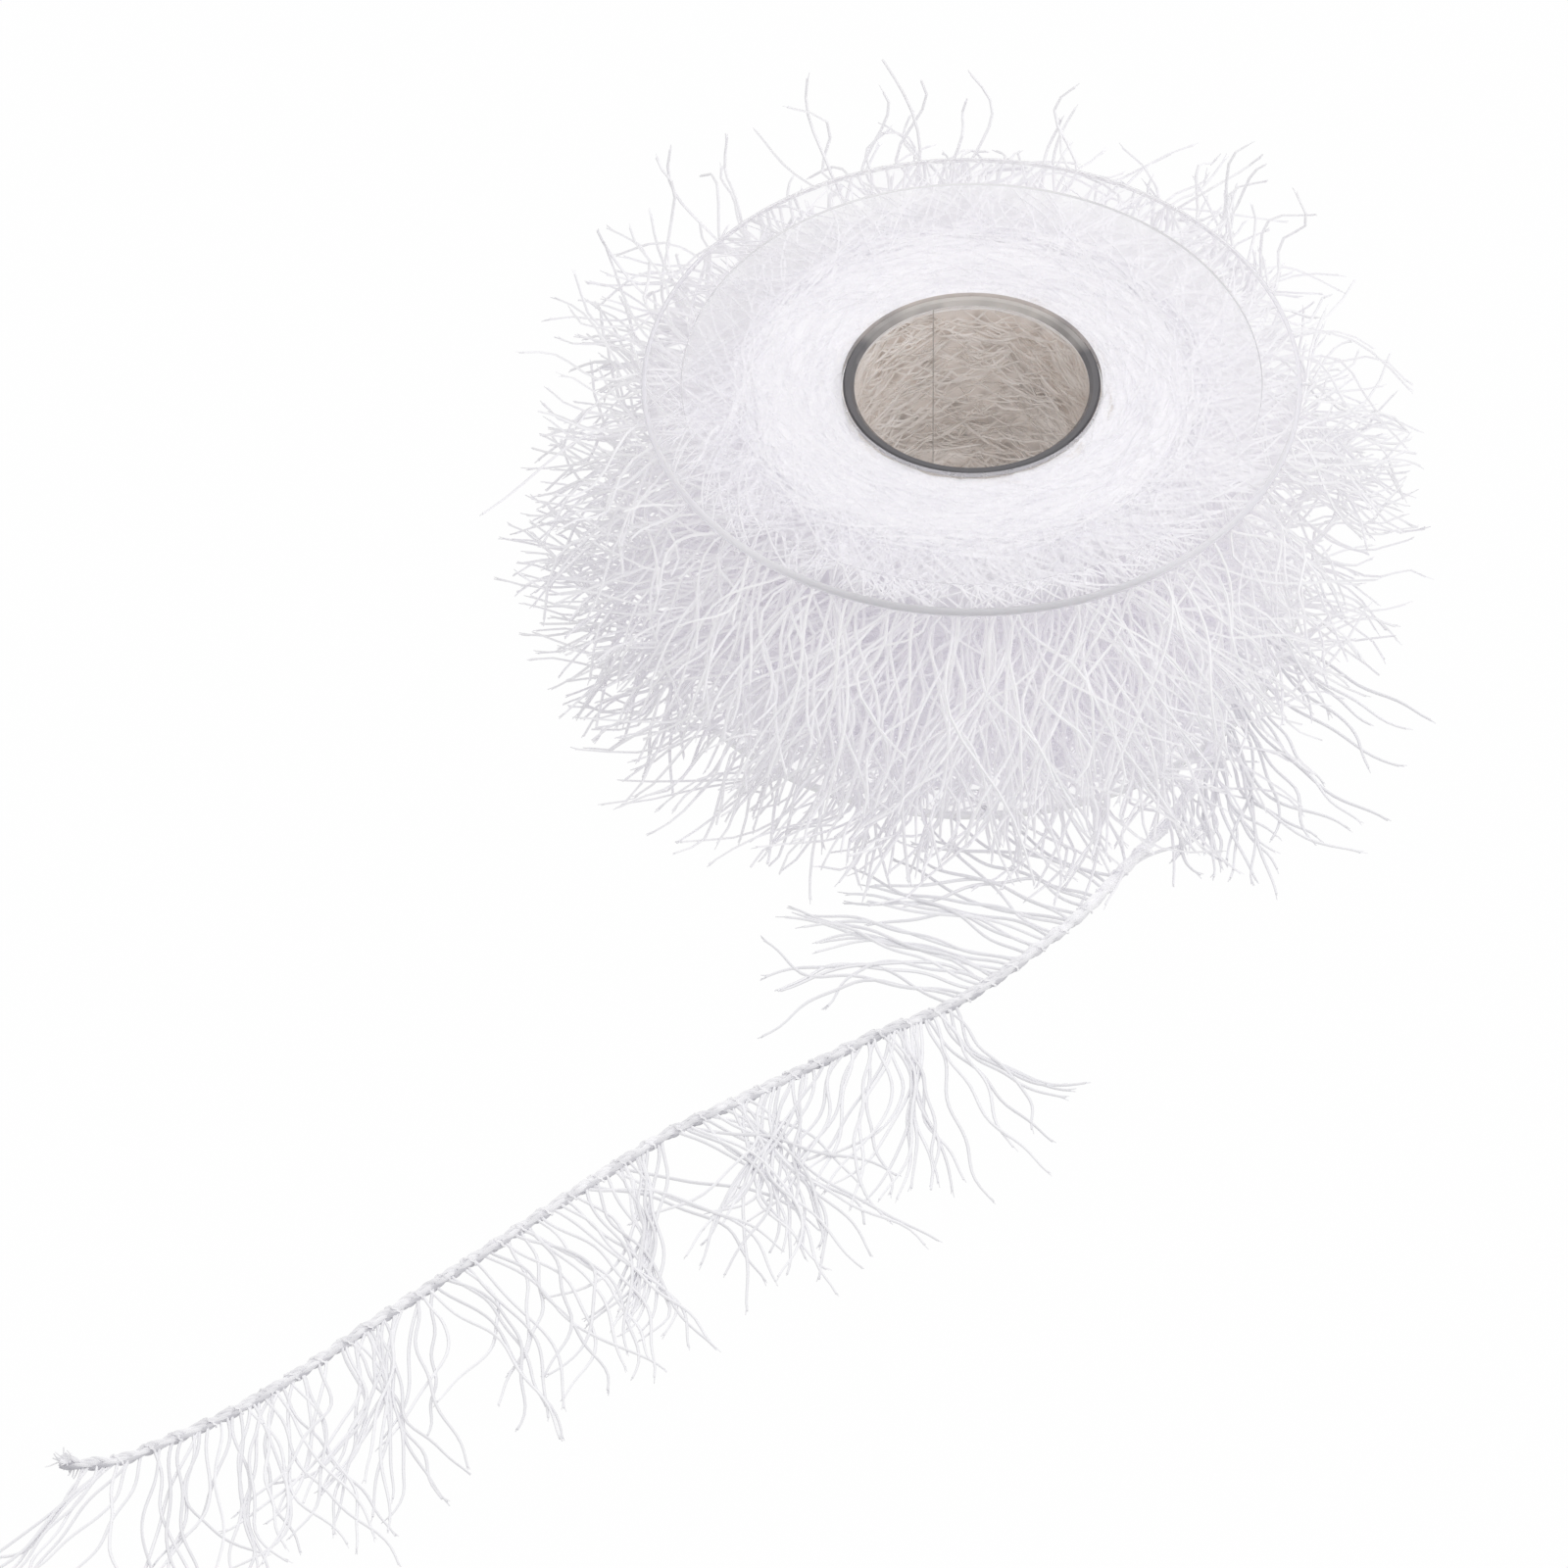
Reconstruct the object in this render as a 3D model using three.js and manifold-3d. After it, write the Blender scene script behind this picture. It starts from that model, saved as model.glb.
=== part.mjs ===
// Eyelash fringe trim wound on a clear plastic spool, with its loose end lying in front.
// Millimetres, +Z up. The origin is where the spool's axis meets the surface that it stands on.
import * as THREE from 'three';
import { mergeVertices } from 'three/addons/utils/BufferGeometryUtils.js';
import Module from 'manifold-3d';

const wasm = await Module();
wasm.setup();

// Gap between pieces that touch on the real thing
const GAP = 0.3;

// Spool: two moulded discs on a tube
const SPOOL_HEIGHT = 44;
const FLANGE_RADIUS = 50;
const FLANGE_THICKNESS = 1.5;
const RIM_WIDTH = 6;
const COLLAR_WIDTH = 1.4;
const WEB_RECESS = 0.4;
const HUB_RADIUS = 19.5;
const HUB_WALL = 1.7;
const EDGE_BREAK = 0.3;
const ROUND_SEGMENTS = 44;

// Wound trim: the body of turns, with the ridges of its outer layer
const ROLL_RADIUS = 34.3;
const ROLL_RIDGES = 6;
const STEPS_PER_RIDGE = 4;
const RIDGE_HEIGHT = 0.4;
const ROLL_SEGMENTS = 32;

// Fringe of the outer turns: locks on curved backings, in rows one above another
const BACKINGS = 6;
const BACKING_INNER = 35;
const BACKING_OUTER = 36.6;
const BACKING_LOW = 6;
const BACKING_HIGH = 38;
const BACKING_SEGMENTS = 8;
const LOCKS_PER_ROW = 8;
const LOCK_ROWS = [
  { rootHeight: 9, bendRadius: 52, bendHeight: 9, tipRadius: 63, tipHeight: 3.6, stagger: -1.2 },
  { rootHeight: 18, bendRadius: 54, bendHeight: 19, tipRadius: 65, tipHeight: 10.5, stagger: 1.2 },
  { rootHeight: 27, bendRadius: 54, bendHeight: 30, tipRadius: 65.5, tipHeight: 20, stagger: -1.2 },
  { rootHeight: 35, bendRadius: 54, bendHeight: 39, tipRadius: 64.5, tipHeight: 31, stagger: 1.2 },
];
const LOCK = { width: 3.6, height: 2.5, rootShare: 0.65, tipShare: 0.15, steps: 3 };
const TIP_SWAY = 2.2;
const TIP_RISE = 1.6;
const TIP_REACH = 1;

// At the back the top row stands higher, and every third lock there rises past the upper disc
const BACK_LIFT = 7;
const RISER_EVERY = 3;
const RISER_SPAN = 0.7;
const RISER = { bendRadius: 58, bendHeight: 34, tipRadius: 61, tipHeight: 51 };

// Loose end: a chain-stitched header that leaves the roll's side and runs forward on the floor
const HEADER_ROUTE = [
  [37.75, 5.2, 16], [38.4, -2, 14.4], [39, -12, 11.5], [39.2, -22, 8.2], [38, -32, 5.4],
  [35.2, -41, 3.2], [31.4, -48.5, 1.7], [27, -55.5, 1.15], [23.5, -60.6, 1.12], [16.9, -70.6, 1.12],
  [9.3, -79.2, 1.12], [1.8, -86.8, 1.12], [-4.8, -92, 1.12], [-14.2, -97.2, 1.12], [-23.7, -103.7, 1.12],
  [-34.8, -111.3, 1.12], [-45.2, -118.2, 1.12], [-57.5, -129.2, 1.12], [-67.9, -138.9, 1.12],
  [-79.3, -149.6, 1.12], [-89.3, -158.7, 1.12], [-100.7, -169.7, 1.12], [-111.1, -178.4, 1.12],
  [-122.4, -185.5, 1.12], [-127.1, -188.2, 1.14], [-132.8, -189.5, 1.3], [-136.6, -189, 1.4],
];
const HEADER_RADIUS = 1.1;
const HEADER_WAIST = 0.86;
const HEADER_END_RADIUS = 1.35;
const HEADER_END_LENGTH = 3;
const HEADER_SIDES = 8;
const STITCH_LENGTH = 5;
const RINGS_PER_STITCH = 2;
const LOCK_TO_HEADER = 3.4;

// Fringe of the loose end: strands on narrow strips beside the header, lying on the floor.
// from and to are distances along the header, and side 1 is the front of it, -1 the back.
// shrink is how much shorter a strip's last strand is than its first.
const STRIP_WIDTH = 1.2;
const STRIP_HEIGHT = 0.9;
const STRIP_SEGMENT = 5;
const STRAND_SPACING = 2.2;
const STRAND = { width: 0.95, height: 0.75, rootShare: 1, tipShare: 0.4, steps: 3 };
const SIDE_FRINGE = { from: 44, to: 68, side: 1, length: 31, spread: 2.5, shrink: 15, lead: 6 };
const FRONT_FRINGE = { from: 111, to: 275, side: 1, length: 40, spread: 3, shrink: 0, lead: 11 };
const BACK_FRINGE = { from: 73, to: 113, side: -1, length: 33, spread: 2.5, shrink: 0, lead: -8 };

// Directions of the loose strands, in degrees round from the front, positive to the right
const SIDE_START_TURN = 85;
const SIDE_END_TURN = 5;
const FRONT_START_TURN = 62;
const FRONT_START_FADE = 14;
const FRONT_TURN = 7;
const FRONT_WAVE = 7;
const FRONT_WAVE_LENGTH = 105;
const FRONT_END_TURN = -40;
const FRONT_END_SPAN = 26;
const BACK_TURN = -115;
const BACK_FAN = 10;

const DEGREES = Math.PI / 180;
const FULL_TURN = 2 * Math.PI;
const GOLDEN_SHARE = (Math.sqrt(5) - 1) / 2;
const UP = new THREE.Vector3(0, 0, 1);
// A three-sided section of radius 1: its base lies a drop below its centre
const UNIT_SECTION = { width: Math.sqrt(3), height: 1.5, drop: 0.5 };

// Even scatter between -1 and 1, the same on every run
function scatter(count) {
  return 2 * ((count * GOLDEN_SHARE) % 1) - 1;
}

function polar(radius, degrees, height) {
  const angle = degrees * DEGREES;
  return new THREE.Vector3(radius * Math.cos(angle), radius * Math.sin(angle), height);
}

// Leave only positions, with the vertices that neighbours share merged
function weld(geometry) {
  geometry.deleteAttribute('normal');
  geometry.deleteAttribute('uv');
  return mergeVertices(geometry);
}

// Turn a closed profile of [radius, height] pairs about the spool's axis
function turned(profile, segments) {
  const points = [...profile, profile[0]].map(([radius, height]) => new THREE.Vector2(radius, height));
  return weld(new THREE.LatheGeometry(points, segments).rotateX(Math.PI / 2));
}

function joined(geometries) {
  const solids = geometries.map((geometry) => new wasm.Manifold(new wasm.Mesh({
    numProp: 3,
    vertProperties: new Float32Array(geometry.attributes.position.array),
    triVerts: new Uint32Array(geometry.index.array),
  })));
  const mesh = solids.reduce((whole, next) => whole.add(next)).getMesh();
  const geometry = new THREE.BufferGeometry();
  geometry.setAttribute('position', new THREE.BufferAttribute(mesh.vertProperties, 3));
  geometry.setIndex(new THREE.BufferAttribute(mesh.triVerts, 1));
  return geometry;
}

function named(name, geometry, material) {
  const mesh = new THREE.Mesh(geometry, material);
  mesh.name = name;
  return mesh;
}

function clearPlastic() {
  return new THREE.MeshStandardMaterial({
    color: 0xe9e8ea, roughness: 0.08, metalness: 0, transparent: true, opacity: 0.35,
  });
}

function whiteYarn() {
  return new THREE.MeshStandardMaterial({ color: 0xf1f0f5, roughness: 0.7, metalness: 0 });
}

// Lower disc, its outer face down: a raised rim and a raised collar round the hub's hole
function flangeGeometry() {
  const hole = HUB_RADIUS + GAP;
  const collar = hole + COLLAR_WIDTH;
  const rim = FLANGE_RADIUS - RIM_WIDTH;
  const profile = [
    [hole, 0],
    [collar, 0],
    [collar + WEB_RECESS, WEB_RECESS],
    [rim - WEB_RECESS, WEB_RECESS],
    [rim, 0],
    [FLANGE_RADIUS - EDGE_BREAK, 0],
    [FLANGE_RADIUS, EDGE_BREAK],
    [FLANGE_RADIUS, FLANGE_THICKNESS - EDGE_BREAK],
    [FLANGE_RADIUS - EDGE_BREAK, FLANGE_THICKNESS],
    [hole, FLANGE_THICKNESS],
  ];
  return turned(profile, ROUND_SEGMENTS);
}

function hubGeometry() {
  const bore = HUB_RADIUS - HUB_WALL;
  const profile = [
    [bore + EDGE_BREAK, 0],
    [HUB_RADIUS - EDGE_BREAK, 0],
    [HUB_RADIUS, EDGE_BREAK],
    [HUB_RADIUS, SPOOL_HEIGHT - EDGE_BREAK],
    [HUB_RADIUS - EDGE_BREAK, SPOOL_HEIGHT],
    [bore + EDGE_BREAK, SPOOL_HEIGHT],
    [bore, SPOOL_HEIGHT - EDGE_BREAK],
    [bore, EDGE_BREAK],
  ];
  return turned(profile, ROUND_SEGMENTS);
}

// Body of turns between the discs, with the helical ridges of the outer layer
function rollGeometry() {
  const low = FLANGE_THICKNESS + GAP;
  const height = SPOOL_HEIGHT - 2 * low;
  const inner = HUB_RADIUS + GAP;
  const steps = ROLL_RIDGES * STEPS_PER_RIDGE;
  const wall = Array.from({ length: steps + 1 }, (_, step) => [ROLL_RADIUS, low + (height * step) / steps]);
  const profile = [[inner, low], ...wall, [inner, low + height]];
  const geometry = turned(profile, ROLL_SEGMENTS);
  const { position } = geometry.attributes;
  const point = new THREE.Vector3();
  for (let i = 0; i < position.count; i += 1) {
    point.fromBufferAttribute(position, i);
    if (Math.hypot(point.x, point.y) > inner + GAP) {
      const turn = Math.atan2(point.y, point.x) / FULL_TURN;
      const ridge = Math.cos(FULL_TURN * ((ROLL_RIDGES * (point.z - low)) / height - turn));
      const scale = 1 + (RIDGE_HEIGHT * ridge) / ROLL_RADIUS;
      position.setXY(i, point.x * scale, point.y * scale);
    }
  }
  return geometry;
}

// A three-sided strand whose flat underside follows a path. Its section has its full size
// half way along, and the given shares of it at the root and the tip.
function strandGeometry(path, { width, height, rootShare, tipShare, steps }) {
  const geometry = weld(new THREE.CylinderGeometry(1, 1, 1, 3, steps));
  const { position } = geometry.attributes;
  const corner = new THREE.Vector3();
  for (let i = 0; i < position.count; i += 1) {
    corner.fromBufferAttribute(position, i);
    const along = corner.y + 0.5;
    const rootPart = rootShare * (1 - along) * (1 - 2 * along);
    const tipPart = tipShare * along * (2 * along - 1);
    const share = rootPart + 4 * along * (1 - along) + tipPart;
    const tangent = path.getTangent(along);
    const side = new THREE.Vector3().crossVectors(tangent, UP).normalize();
    const over = new THREE.Vector3().crossVectors(side, tangent);
    const place = path.getPoint(along)
      .addScaledVector(side, (corner.x / UNIT_SECTION.width) * width * share)
      .addScaledVector(over, ((corner.z + UNIT_SECTION.drop) / UNIT_SECTION.height) * height * share);
    position.setXYZ(i, place.x, place.y, place.z);
  }
  return geometry;
}

const headerCurve = new THREE.CatmullRomCurve3(
  HEADER_ROUTE.map(([x, y, z]) => new THREE.Vector3(x, y, z)),
  false,
  'centripetal',
);
const headerLength = headerCurve.getLength();
const stitches = Math.round(headerLength / STITCH_LENGTH);
const headerSteps = RINGS_PER_STITCH * stitches;
const headerRings = headerCurve.getSpacedPoints(headerSteps);

function clearOfHeader(path) {
  const lockPoints = path.getSpacedPoints(3 * LOCK.steps);
  return lockPoints.every((point) => headerRings.every((ring) => ring.distanceTo(point) > LOCK_TO_HEADER));
}

// Path of one lock, from inside its backing out between the discs to its drooping tip
function lockPath(row, column, isTop) {
  const degrees = ((column + 0.5) * 360) / (BACKINGS * LOCKS_PER_ROW) + row.stagger;
  const seed = column * LOCK_ROWS.length + LOCK_ROWS.indexOf(row);
  const backness = Math.max(0, Math.sin(degrees * DEGREES));
  const rises = isTop && backness > RISER_SPAN && column % RISER_EVERY === 0;
  const bend = rises ? RISER : row;
  const lift = isTop && !rises ? BACK_LIFT * backness : 0;
  const tipDegrees = degrees + TIP_SWAY * scatter(seed);
  const tipRadius = bend.tipRadius + TIP_REACH * scatter(seed + 1);
  const tipHeight = bend.tipHeight + lift + TIP_RISE * scatter(seed + 2);
  return new THREE.QuadraticBezierCurve3(
    polar((BACKING_INNER + BACKING_OUTER) / 2, degrees, row.rootHeight),
    polar(bend.bendRadius, (degrees + tipDegrees) / 2, bend.bendHeight),
    polar(tipRadius, tipDegrees, tipHeight),
  );
}

function rollFringeGeometry(sector) {
  const sectorAngle = FULL_TURN / BACKINGS;
  const margin = GAP / BACKING_INNER / 2;
  const start = sector * sectorAngle + margin;
  const end = (sector + 1) * sectorAngle - margin;
  const outline = new THREE.Shape();
  outline.absarc(0, 0, BACKING_OUTER, start, end, false);
  outline.absarc(0, 0, BACKING_INNER, end, start, true);
  const backing = new THREE.ExtrudeGeometry(outline, {
    depth: BACKING_HIGH - BACKING_LOW, bevelEnabled: false, curveSegments: BACKING_SEGMENTS,
  }).translate(0, 0, BACKING_LOW);
  const pieces = [weld(backing)];
  for (const row of LOCK_ROWS) {
    for (let lock = 0; lock < LOCKS_PER_ROW; lock += 1) {
      const path = lockPath(row, sector * LOCKS_PER_ROW + lock, row === LOCK_ROWS.at(-1));
      if (clearOfHeader(path)) {
        pieces.push(strandGeometry(path, LOCK));
      }
    }
  }
  return joined(pieces);
}

// Header tube: each chain stitch swells and draws in, and the cut end is a little thicker
function headerGeometry() {
  const section = new THREE.Shape(
    Array.from({ length: HEADER_SIDES }, (_, side) => {
      const angle = ((side + 0.5) * FULL_TURN) / HEADER_SIDES;
      return new THREE.Vector2(Math.cos(angle), Math.sin(angle));
    }),
  );
  const geometry = weld(new THREE.ExtrudeGeometry(section, {
    steps: headerSteps, bevelEnabled: false, extrudePath: headerCurve,
  }));
  const { position } = geometry.attributes;
  const corner = new THREE.Vector3();
  const endRings = Math.ceil((HEADER_END_LENGTH / STITCH_LENGTH) * RINGS_PER_STITCH);
  for (let i = 0; i < position.count; i += 1) {
    corner.fromBufferAttribute(position, i);
    const distances = headerRings.map((ring) => ring.distanceToSquared(corner));
    const nearest = distances.indexOf(Math.min(...distances));
    const atEnd = nearest > headerSteps - 1 - endRings && nearest < headerSteps;
    const bodyRadius = nearest % RINGS_PER_STITCH ? HEADER_RADIUS : HEADER_WAIST;
    const radius = atEnd ? HEADER_END_RADIUS : bodyRadius;
    corner.sub(headerRings[nearest]).setLength(radius).add(headerRings[nearest]);
    position.setXYZ(i, corner.x, corner.y, corner.z);
  }
  return geometry;
}

// A point on the floor beside the header, at a distance along it and an offset to its left
function besideHeader(distance, offset) {
  const share = distance / headerLength;
  const point = headerCurve.getPointAt(share);
  const tangent = headerCurve.getTangentAt(share);
  const left = new THREE.Vector2(-tangent.y, tangent.x).normalize();
  return new THREE.Vector2(point.x, point.y).addScaledVector(left, offset);
}

// Degrees from the front in which a loose strand lies, at a share of its strip's length
function strandTurn(fringe, share) {
  if (fringe === SIDE_FRINGE) {
    return THREE.MathUtils.lerp(SIDE_START_TURN, SIDE_END_TURN, share);
  }
  if (fringe === BACK_FRINGE) {
    return BACK_TURN + BACK_FAN * (1 - 2 * share);
  }
  const span = fringe.to - fringe.from;
  const distance = share * span;
  const start = FRONT_START_TURN * Math.exp(-distance / FRONT_START_FADE);
  const wave = FRONT_WAVE * Math.sin((FULL_TURN * distance) / FRONT_WAVE_LENGTH);
  const end = FRONT_END_TURN * THREE.MathUtils.smoothstep(distance, span - FRONT_END_SPAN, span);
  return FRONT_TURN + start + wave + end;
}

function floorDirection(turn) {
  return new THREE.Vector3(Math.sin(turn * DEGREES), -Math.cos(turn * DEGREES), 0);
}

function tailFringeGeometry(fringe) {
  const span = fringe.to - fringe.from;
  const near = fringe.side * (HEADER_RADIUS + GAP);
  const far = near + fringe.side * STRIP_WIDTH;
  const segments = Math.round(span / STRIP_SEGMENT);
  const distances = Array.from({ length: segments + 1 }, (_, i) => fringe.from + (span * i) / segments);
  const nearEdge = distances.map((distance) => besideHeader(distance, near));
  const farEdge = distances.map((distance) => besideHeader(distance, far));
  const outline = new THREE.Shape([...nearEdge, ...farEdge.reverse()]);
  const strip = weld(new THREE.ExtrudeGeometry(outline, { depth: STRIP_HEIGHT, bevelEnabled: false }));
  const pieces = [strip];
  const count = Math.floor(span / STRAND_SPACING);
  for (let strand = 0; strand < count; strand += 1) {
    const share = (strand + 0.5) / count;
    const turn = strandTurn(fringe, share);
    const middle = (fringe.length - fringe.shrink * share) / 2;
    const length = 2 * middle + fringe.spread * scatter(strand);
    const foot = besideHeader(fringe.from + share * span, (near + far) / 2);
    const root = new THREE.Vector3(foot.x, foot.y, 0);
    const bend = root.clone().addScaledVector(floorDirection(turn + fringe.lead), middle);
    const tip = bend.clone().addScaledVector(floorDirection(turn - fringe.lead), length - middle);
    const path = new THREE.QuadraticBezierCurve3(root, bend, tip);
    pieces.push(strandGeometry(path, STRAND));
  }
  return joined(pieces);
}

const spool = new THREE.Group();
spool.add(named('bottom_flange', flangeGeometry(), clearPlastic()));
spool.add(named('hub_tube', hubGeometry(), clearPlastic()));
const topFlange = named('top_flange', flangeGeometry(), clearPlastic());
topFlange.position.z = SPOOL_HEIGHT;
topFlange.rotation.x = Math.PI;
spool.add(topFlange);

const woundTrim = new THREE.Group();
woundTrim.add(named('wound_roll', rollGeometry(), whiteYarn()));
for (let sector = 0; sector < BACKINGS; sector += 1) {
  woundTrim.add(named(`roll_fringe_${sector + 1}`, rollFringeGeometry(sector), whiteYarn()));
}

const looseEnd = new THREE.Group();
looseEnd.add(named('tail_header', headerGeometry(), whiteYarn()));
looseEnd.add(named('tail_fringe_side', tailFringeGeometry(SIDE_FRINGE), whiteYarn()));
looseEnd.add(named('tail_fringe_front', tailFringeGeometry(FRONT_FRINGE), whiteYarn()));
looseEnd.add(named('tail_fringe_back', tailFringeGeometry(BACK_FRINGE), whiteYarn()));

const fringeTrim = new THREE.Group();
fringeTrim.add(spool, woundTrim, looseEnd);

export default fringeTrim;
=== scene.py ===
import math

import bpy
import numpy as np
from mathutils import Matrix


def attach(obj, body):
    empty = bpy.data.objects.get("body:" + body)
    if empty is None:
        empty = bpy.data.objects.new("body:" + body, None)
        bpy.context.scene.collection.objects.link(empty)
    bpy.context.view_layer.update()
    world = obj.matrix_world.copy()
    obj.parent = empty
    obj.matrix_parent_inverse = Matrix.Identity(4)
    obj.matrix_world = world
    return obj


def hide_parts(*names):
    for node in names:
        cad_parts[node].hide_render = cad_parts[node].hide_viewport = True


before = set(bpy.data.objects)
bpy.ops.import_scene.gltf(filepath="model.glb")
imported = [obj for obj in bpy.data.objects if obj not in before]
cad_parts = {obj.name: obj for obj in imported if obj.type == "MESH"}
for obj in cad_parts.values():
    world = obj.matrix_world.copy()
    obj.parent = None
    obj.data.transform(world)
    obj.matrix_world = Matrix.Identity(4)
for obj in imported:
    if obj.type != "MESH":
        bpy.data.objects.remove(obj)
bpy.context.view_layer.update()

# Camera: it looks down at the spool from the front, from far off with a long lens,
# so the discs stay true ellipses and the loose end runs to the lower left corner.
MM = 0.001
VIEW_AIM = np.array([-28.4, -41.8, 0]) * MM
VIEW_DISTANCE = 9
VIEW_ELEVATION = math.radians(44)
VIEW_LENS = 1366
VIEW_SENSOR = 36
VIEW_REACH = 40

camera_data = bpy.data.cameras.new("studio_camera")
camera_data.lens = VIEW_LENS
camera_data.sensor_width = VIEW_SENSOR
camera_data.clip_end = VIEW_REACH
camera = bpy.data.objects.new("studio_camera", camera_data)
bpy.context.scene.collection.objects.link(camera)
view_back = np.array([0, -math.cos(VIEW_ELEVATION), math.sin(VIEW_ELEVATION)])
camera.location = VIEW_AIM + VIEW_DISTANCE * view_back
camera.rotation_euler = (math.pi / 2 - VIEW_ELEVATION, 0, 0)
bpy.context.scene.camera = camera

# Header of the loose end: a chain-stitched cord of white polyester yarn, about 2 mm thick.
# It leaves the roll's right side, comes down to the surface and ends in a frayed cut.
HEADER_ROUTE = np.array([
    [37.75, 5.2, 16], [38.4, -2, 14.4], [39, -12, 11.5], [39.2, -22, 8.2], [38, -32, 5.4],
    [35.2, -41, 3.2], [31.4, -48.5, 1.7], [27, -55.5, 1.15], [23.5, -60.6, 1.12], [16.9, -70.6, 1.12],
    [9.3, -79.2, 1.12], [1.8, -86.8, 1.12], [-4.8, -92, 1.12], [-14.2, -97.2, 1.12], [-23.7, -103.7, 1.12],
    [-34.8, -111.3, 1.12], [-45.2, -118.2, 1.12], [-57.5, -129.2, 1.12], [-67.9, -138.9, 1.12],
    [-79.3, -149.6, 1.12], [-89.3, -158.7, 1.12], [-100.7, -169.7, 1.12], [-111.1, -178.4, 1.12],
    [-122.4, -185.5, 1.12], [-127.1, -188.2, 1.14], [-132.8, -189.5, 1.3], [-136.6, -189, 1.4],
]) * MM
HEADER_STEP = 0.4 * MM
SPAN_SAMPLES = 40
BRAID_PLIES = 3
BRAID_PERIOD = 13.5 * MM
BRAID_SIDEWAYS = 0.52 * MM
BRAID_UPRIGHT = 0.28 * MM
PLY_YARNS = 3
PLY_LAY = 4.6 * MM
PLY_YARN_OFFSET = 0.2 * MM
PLY_YARN_RADIUS = 0.32 * MM
PLY_YARN_SIDES = 6
PLY_YARN_TONES = (0.2, 0.38)
END_SWELL = 0.45
END_SWELL_LENGTH = 4 * MM
STITCH_PITCH = 5.2 * MM
STITCH_UNEVEN_MM = 0.6
STITCH_RADIUS = 1.0 * MM
STITCH_FLATNESS = 0.8
STITCH_FROM = math.radians(-35)
STITCH_TURN = math.radians(250)
STITCH_ADVANCE = 1.7 * MM
STITCH_POINTS = 12
STITCH_YARN_RADIUS = 0.19 * MM
STITCH_YARN_SIDES = 4
STITCH_TONES = (0.05, 0.2)
CUT_FILAMENTS = 46
CUT_FILAMENT_LENGTH = 1.7 * MM
CUT_FILAMENT_RADIUS = 0.12 * MM
CUT_LENGTH_SHARES = (0.5, 1)
CUT_POINTS = 5
CUT_ZONE_MM = 3.4
CUT_FORWARD = 0.9
CUT_CURL = 0.5
CUT_LOWEST = 0.2 * MM
CUT_TONES = (0.05, 0.3)
FINE_SIDES = 3
HEADER_PALE = (0.98, 0.975, 0.99, 1)
HEADER_SHADE = (0.52, 0.515, 0.55, 1)
# Tone along the header, in metres from its root: pale in the fringe, full further out
HEADER_OPEN = ((0.075, 0.105), (0.1, 1))
# Painted shade added on the front and lower side of its yarns
HEADER_PAINTED_UNDERSIDE_SHADE = ((0.15 * MM, 0.75 * MM), (0, 0.7))
MOTTLE_SCALE = 420
YARN_SMOOTHEST = 0.38
YARN_ROUGHEST = 0.62
YARN_SPECULAR = 0.45
UP = np.array([0, 0, 1.0])
NEARLY_ZERO = 1e-9


def unit(vectors):
    return vectors / np.linalg.norm(vectors, axis=-1, keepdims=True).clip(NEARLY_ZERO)


def smooth_curve(points, step):
    """Even points along a centripetal Catmull-Rom curve through the given ones."""
    ends = [2 * points[0] - points[1], 2 * points[-1] - points[-2]]
    knots = np.vstack([ends[0], points, ends[1]])
    finest = []
    share = np.linspace(0, 1, SPAN_SAMPLES, endpoint=False)[:, None]
    for a, b, c, d in zip(knots, knots[1:], knots[2:], knots[3:]):
        t1 = math.sqrt(np.linalg.norm(b - a))
        t2 = t1 + math.sqrt(np.linalg.norm(c - b))
        t3 = t2 + math.sqrt(np.linalg.norm(d - c))
        t = t1 + (t2 - t1) * share
        ab = a + (b - a) * t / t1
        bc = b + (c - b) * (t - t1) / (t2 - t1)
        cd = c + (d - c) * (t - t2) / (t3 - t2)
        abc = ab + (bc - ab) * t / t2
        bcd = bc + (cd - bc) * (t - t1) / (t3 - t1)
        finest.append(abc + (bcd - abc) * (t - t1) / (t2 - t1))
    fine = np.vstack(finest + [points[-1:]])
    travelled = np.concatenate([[0], np.cumsum(np.linalg.norm(np.diff(fine, axis=0), axis=1))])
    even = np.linspace(0, travelled[-1], round(travelled[-1] / step) + 1)
    return np.stack([np.interp(even, travelled, fine[:, axis]) for axis in range(3)], axis=1)


def strand_tubes(lines, radii, sides):
    """Corners and faces of closed tubes along lines, an array of strands by points by 3."""
    count, points = lines.shape[:2]
    along = unit(np.gradient(lines, axis=1))
    mean = np.abs(along.mean(axis=1))
    guide = np.eye(3)[mean.argmin(axis=1)][:, None, :]
    first = unit(np.cross(along, guide))
    second = np.cross(along, first)
    angle = np.arange(sides) * 2 * math.pi / sides
    ring = first[:, :, None] * np.cos(angle)[:, None] + second[:, :, None] * np.sin(angle)[:, None]
    corners = lines[:, :, None] + ring * radii[:, :, None, None]
    number = np.arange(count * points * sides).reshape(count, points, sides)
    after = np.roll(number, -1, axis=2)
    walls = np.stack([number[:, :-1], after[:, :-1], after[:, 1:], number[:, 1:]], axis=-1)
    caps = np.concatenate([number[:, 0, ::-1], number[:, -1]])
    return corners.reshape(-1, 3), walls.reshape(-1, 4), caps


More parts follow.
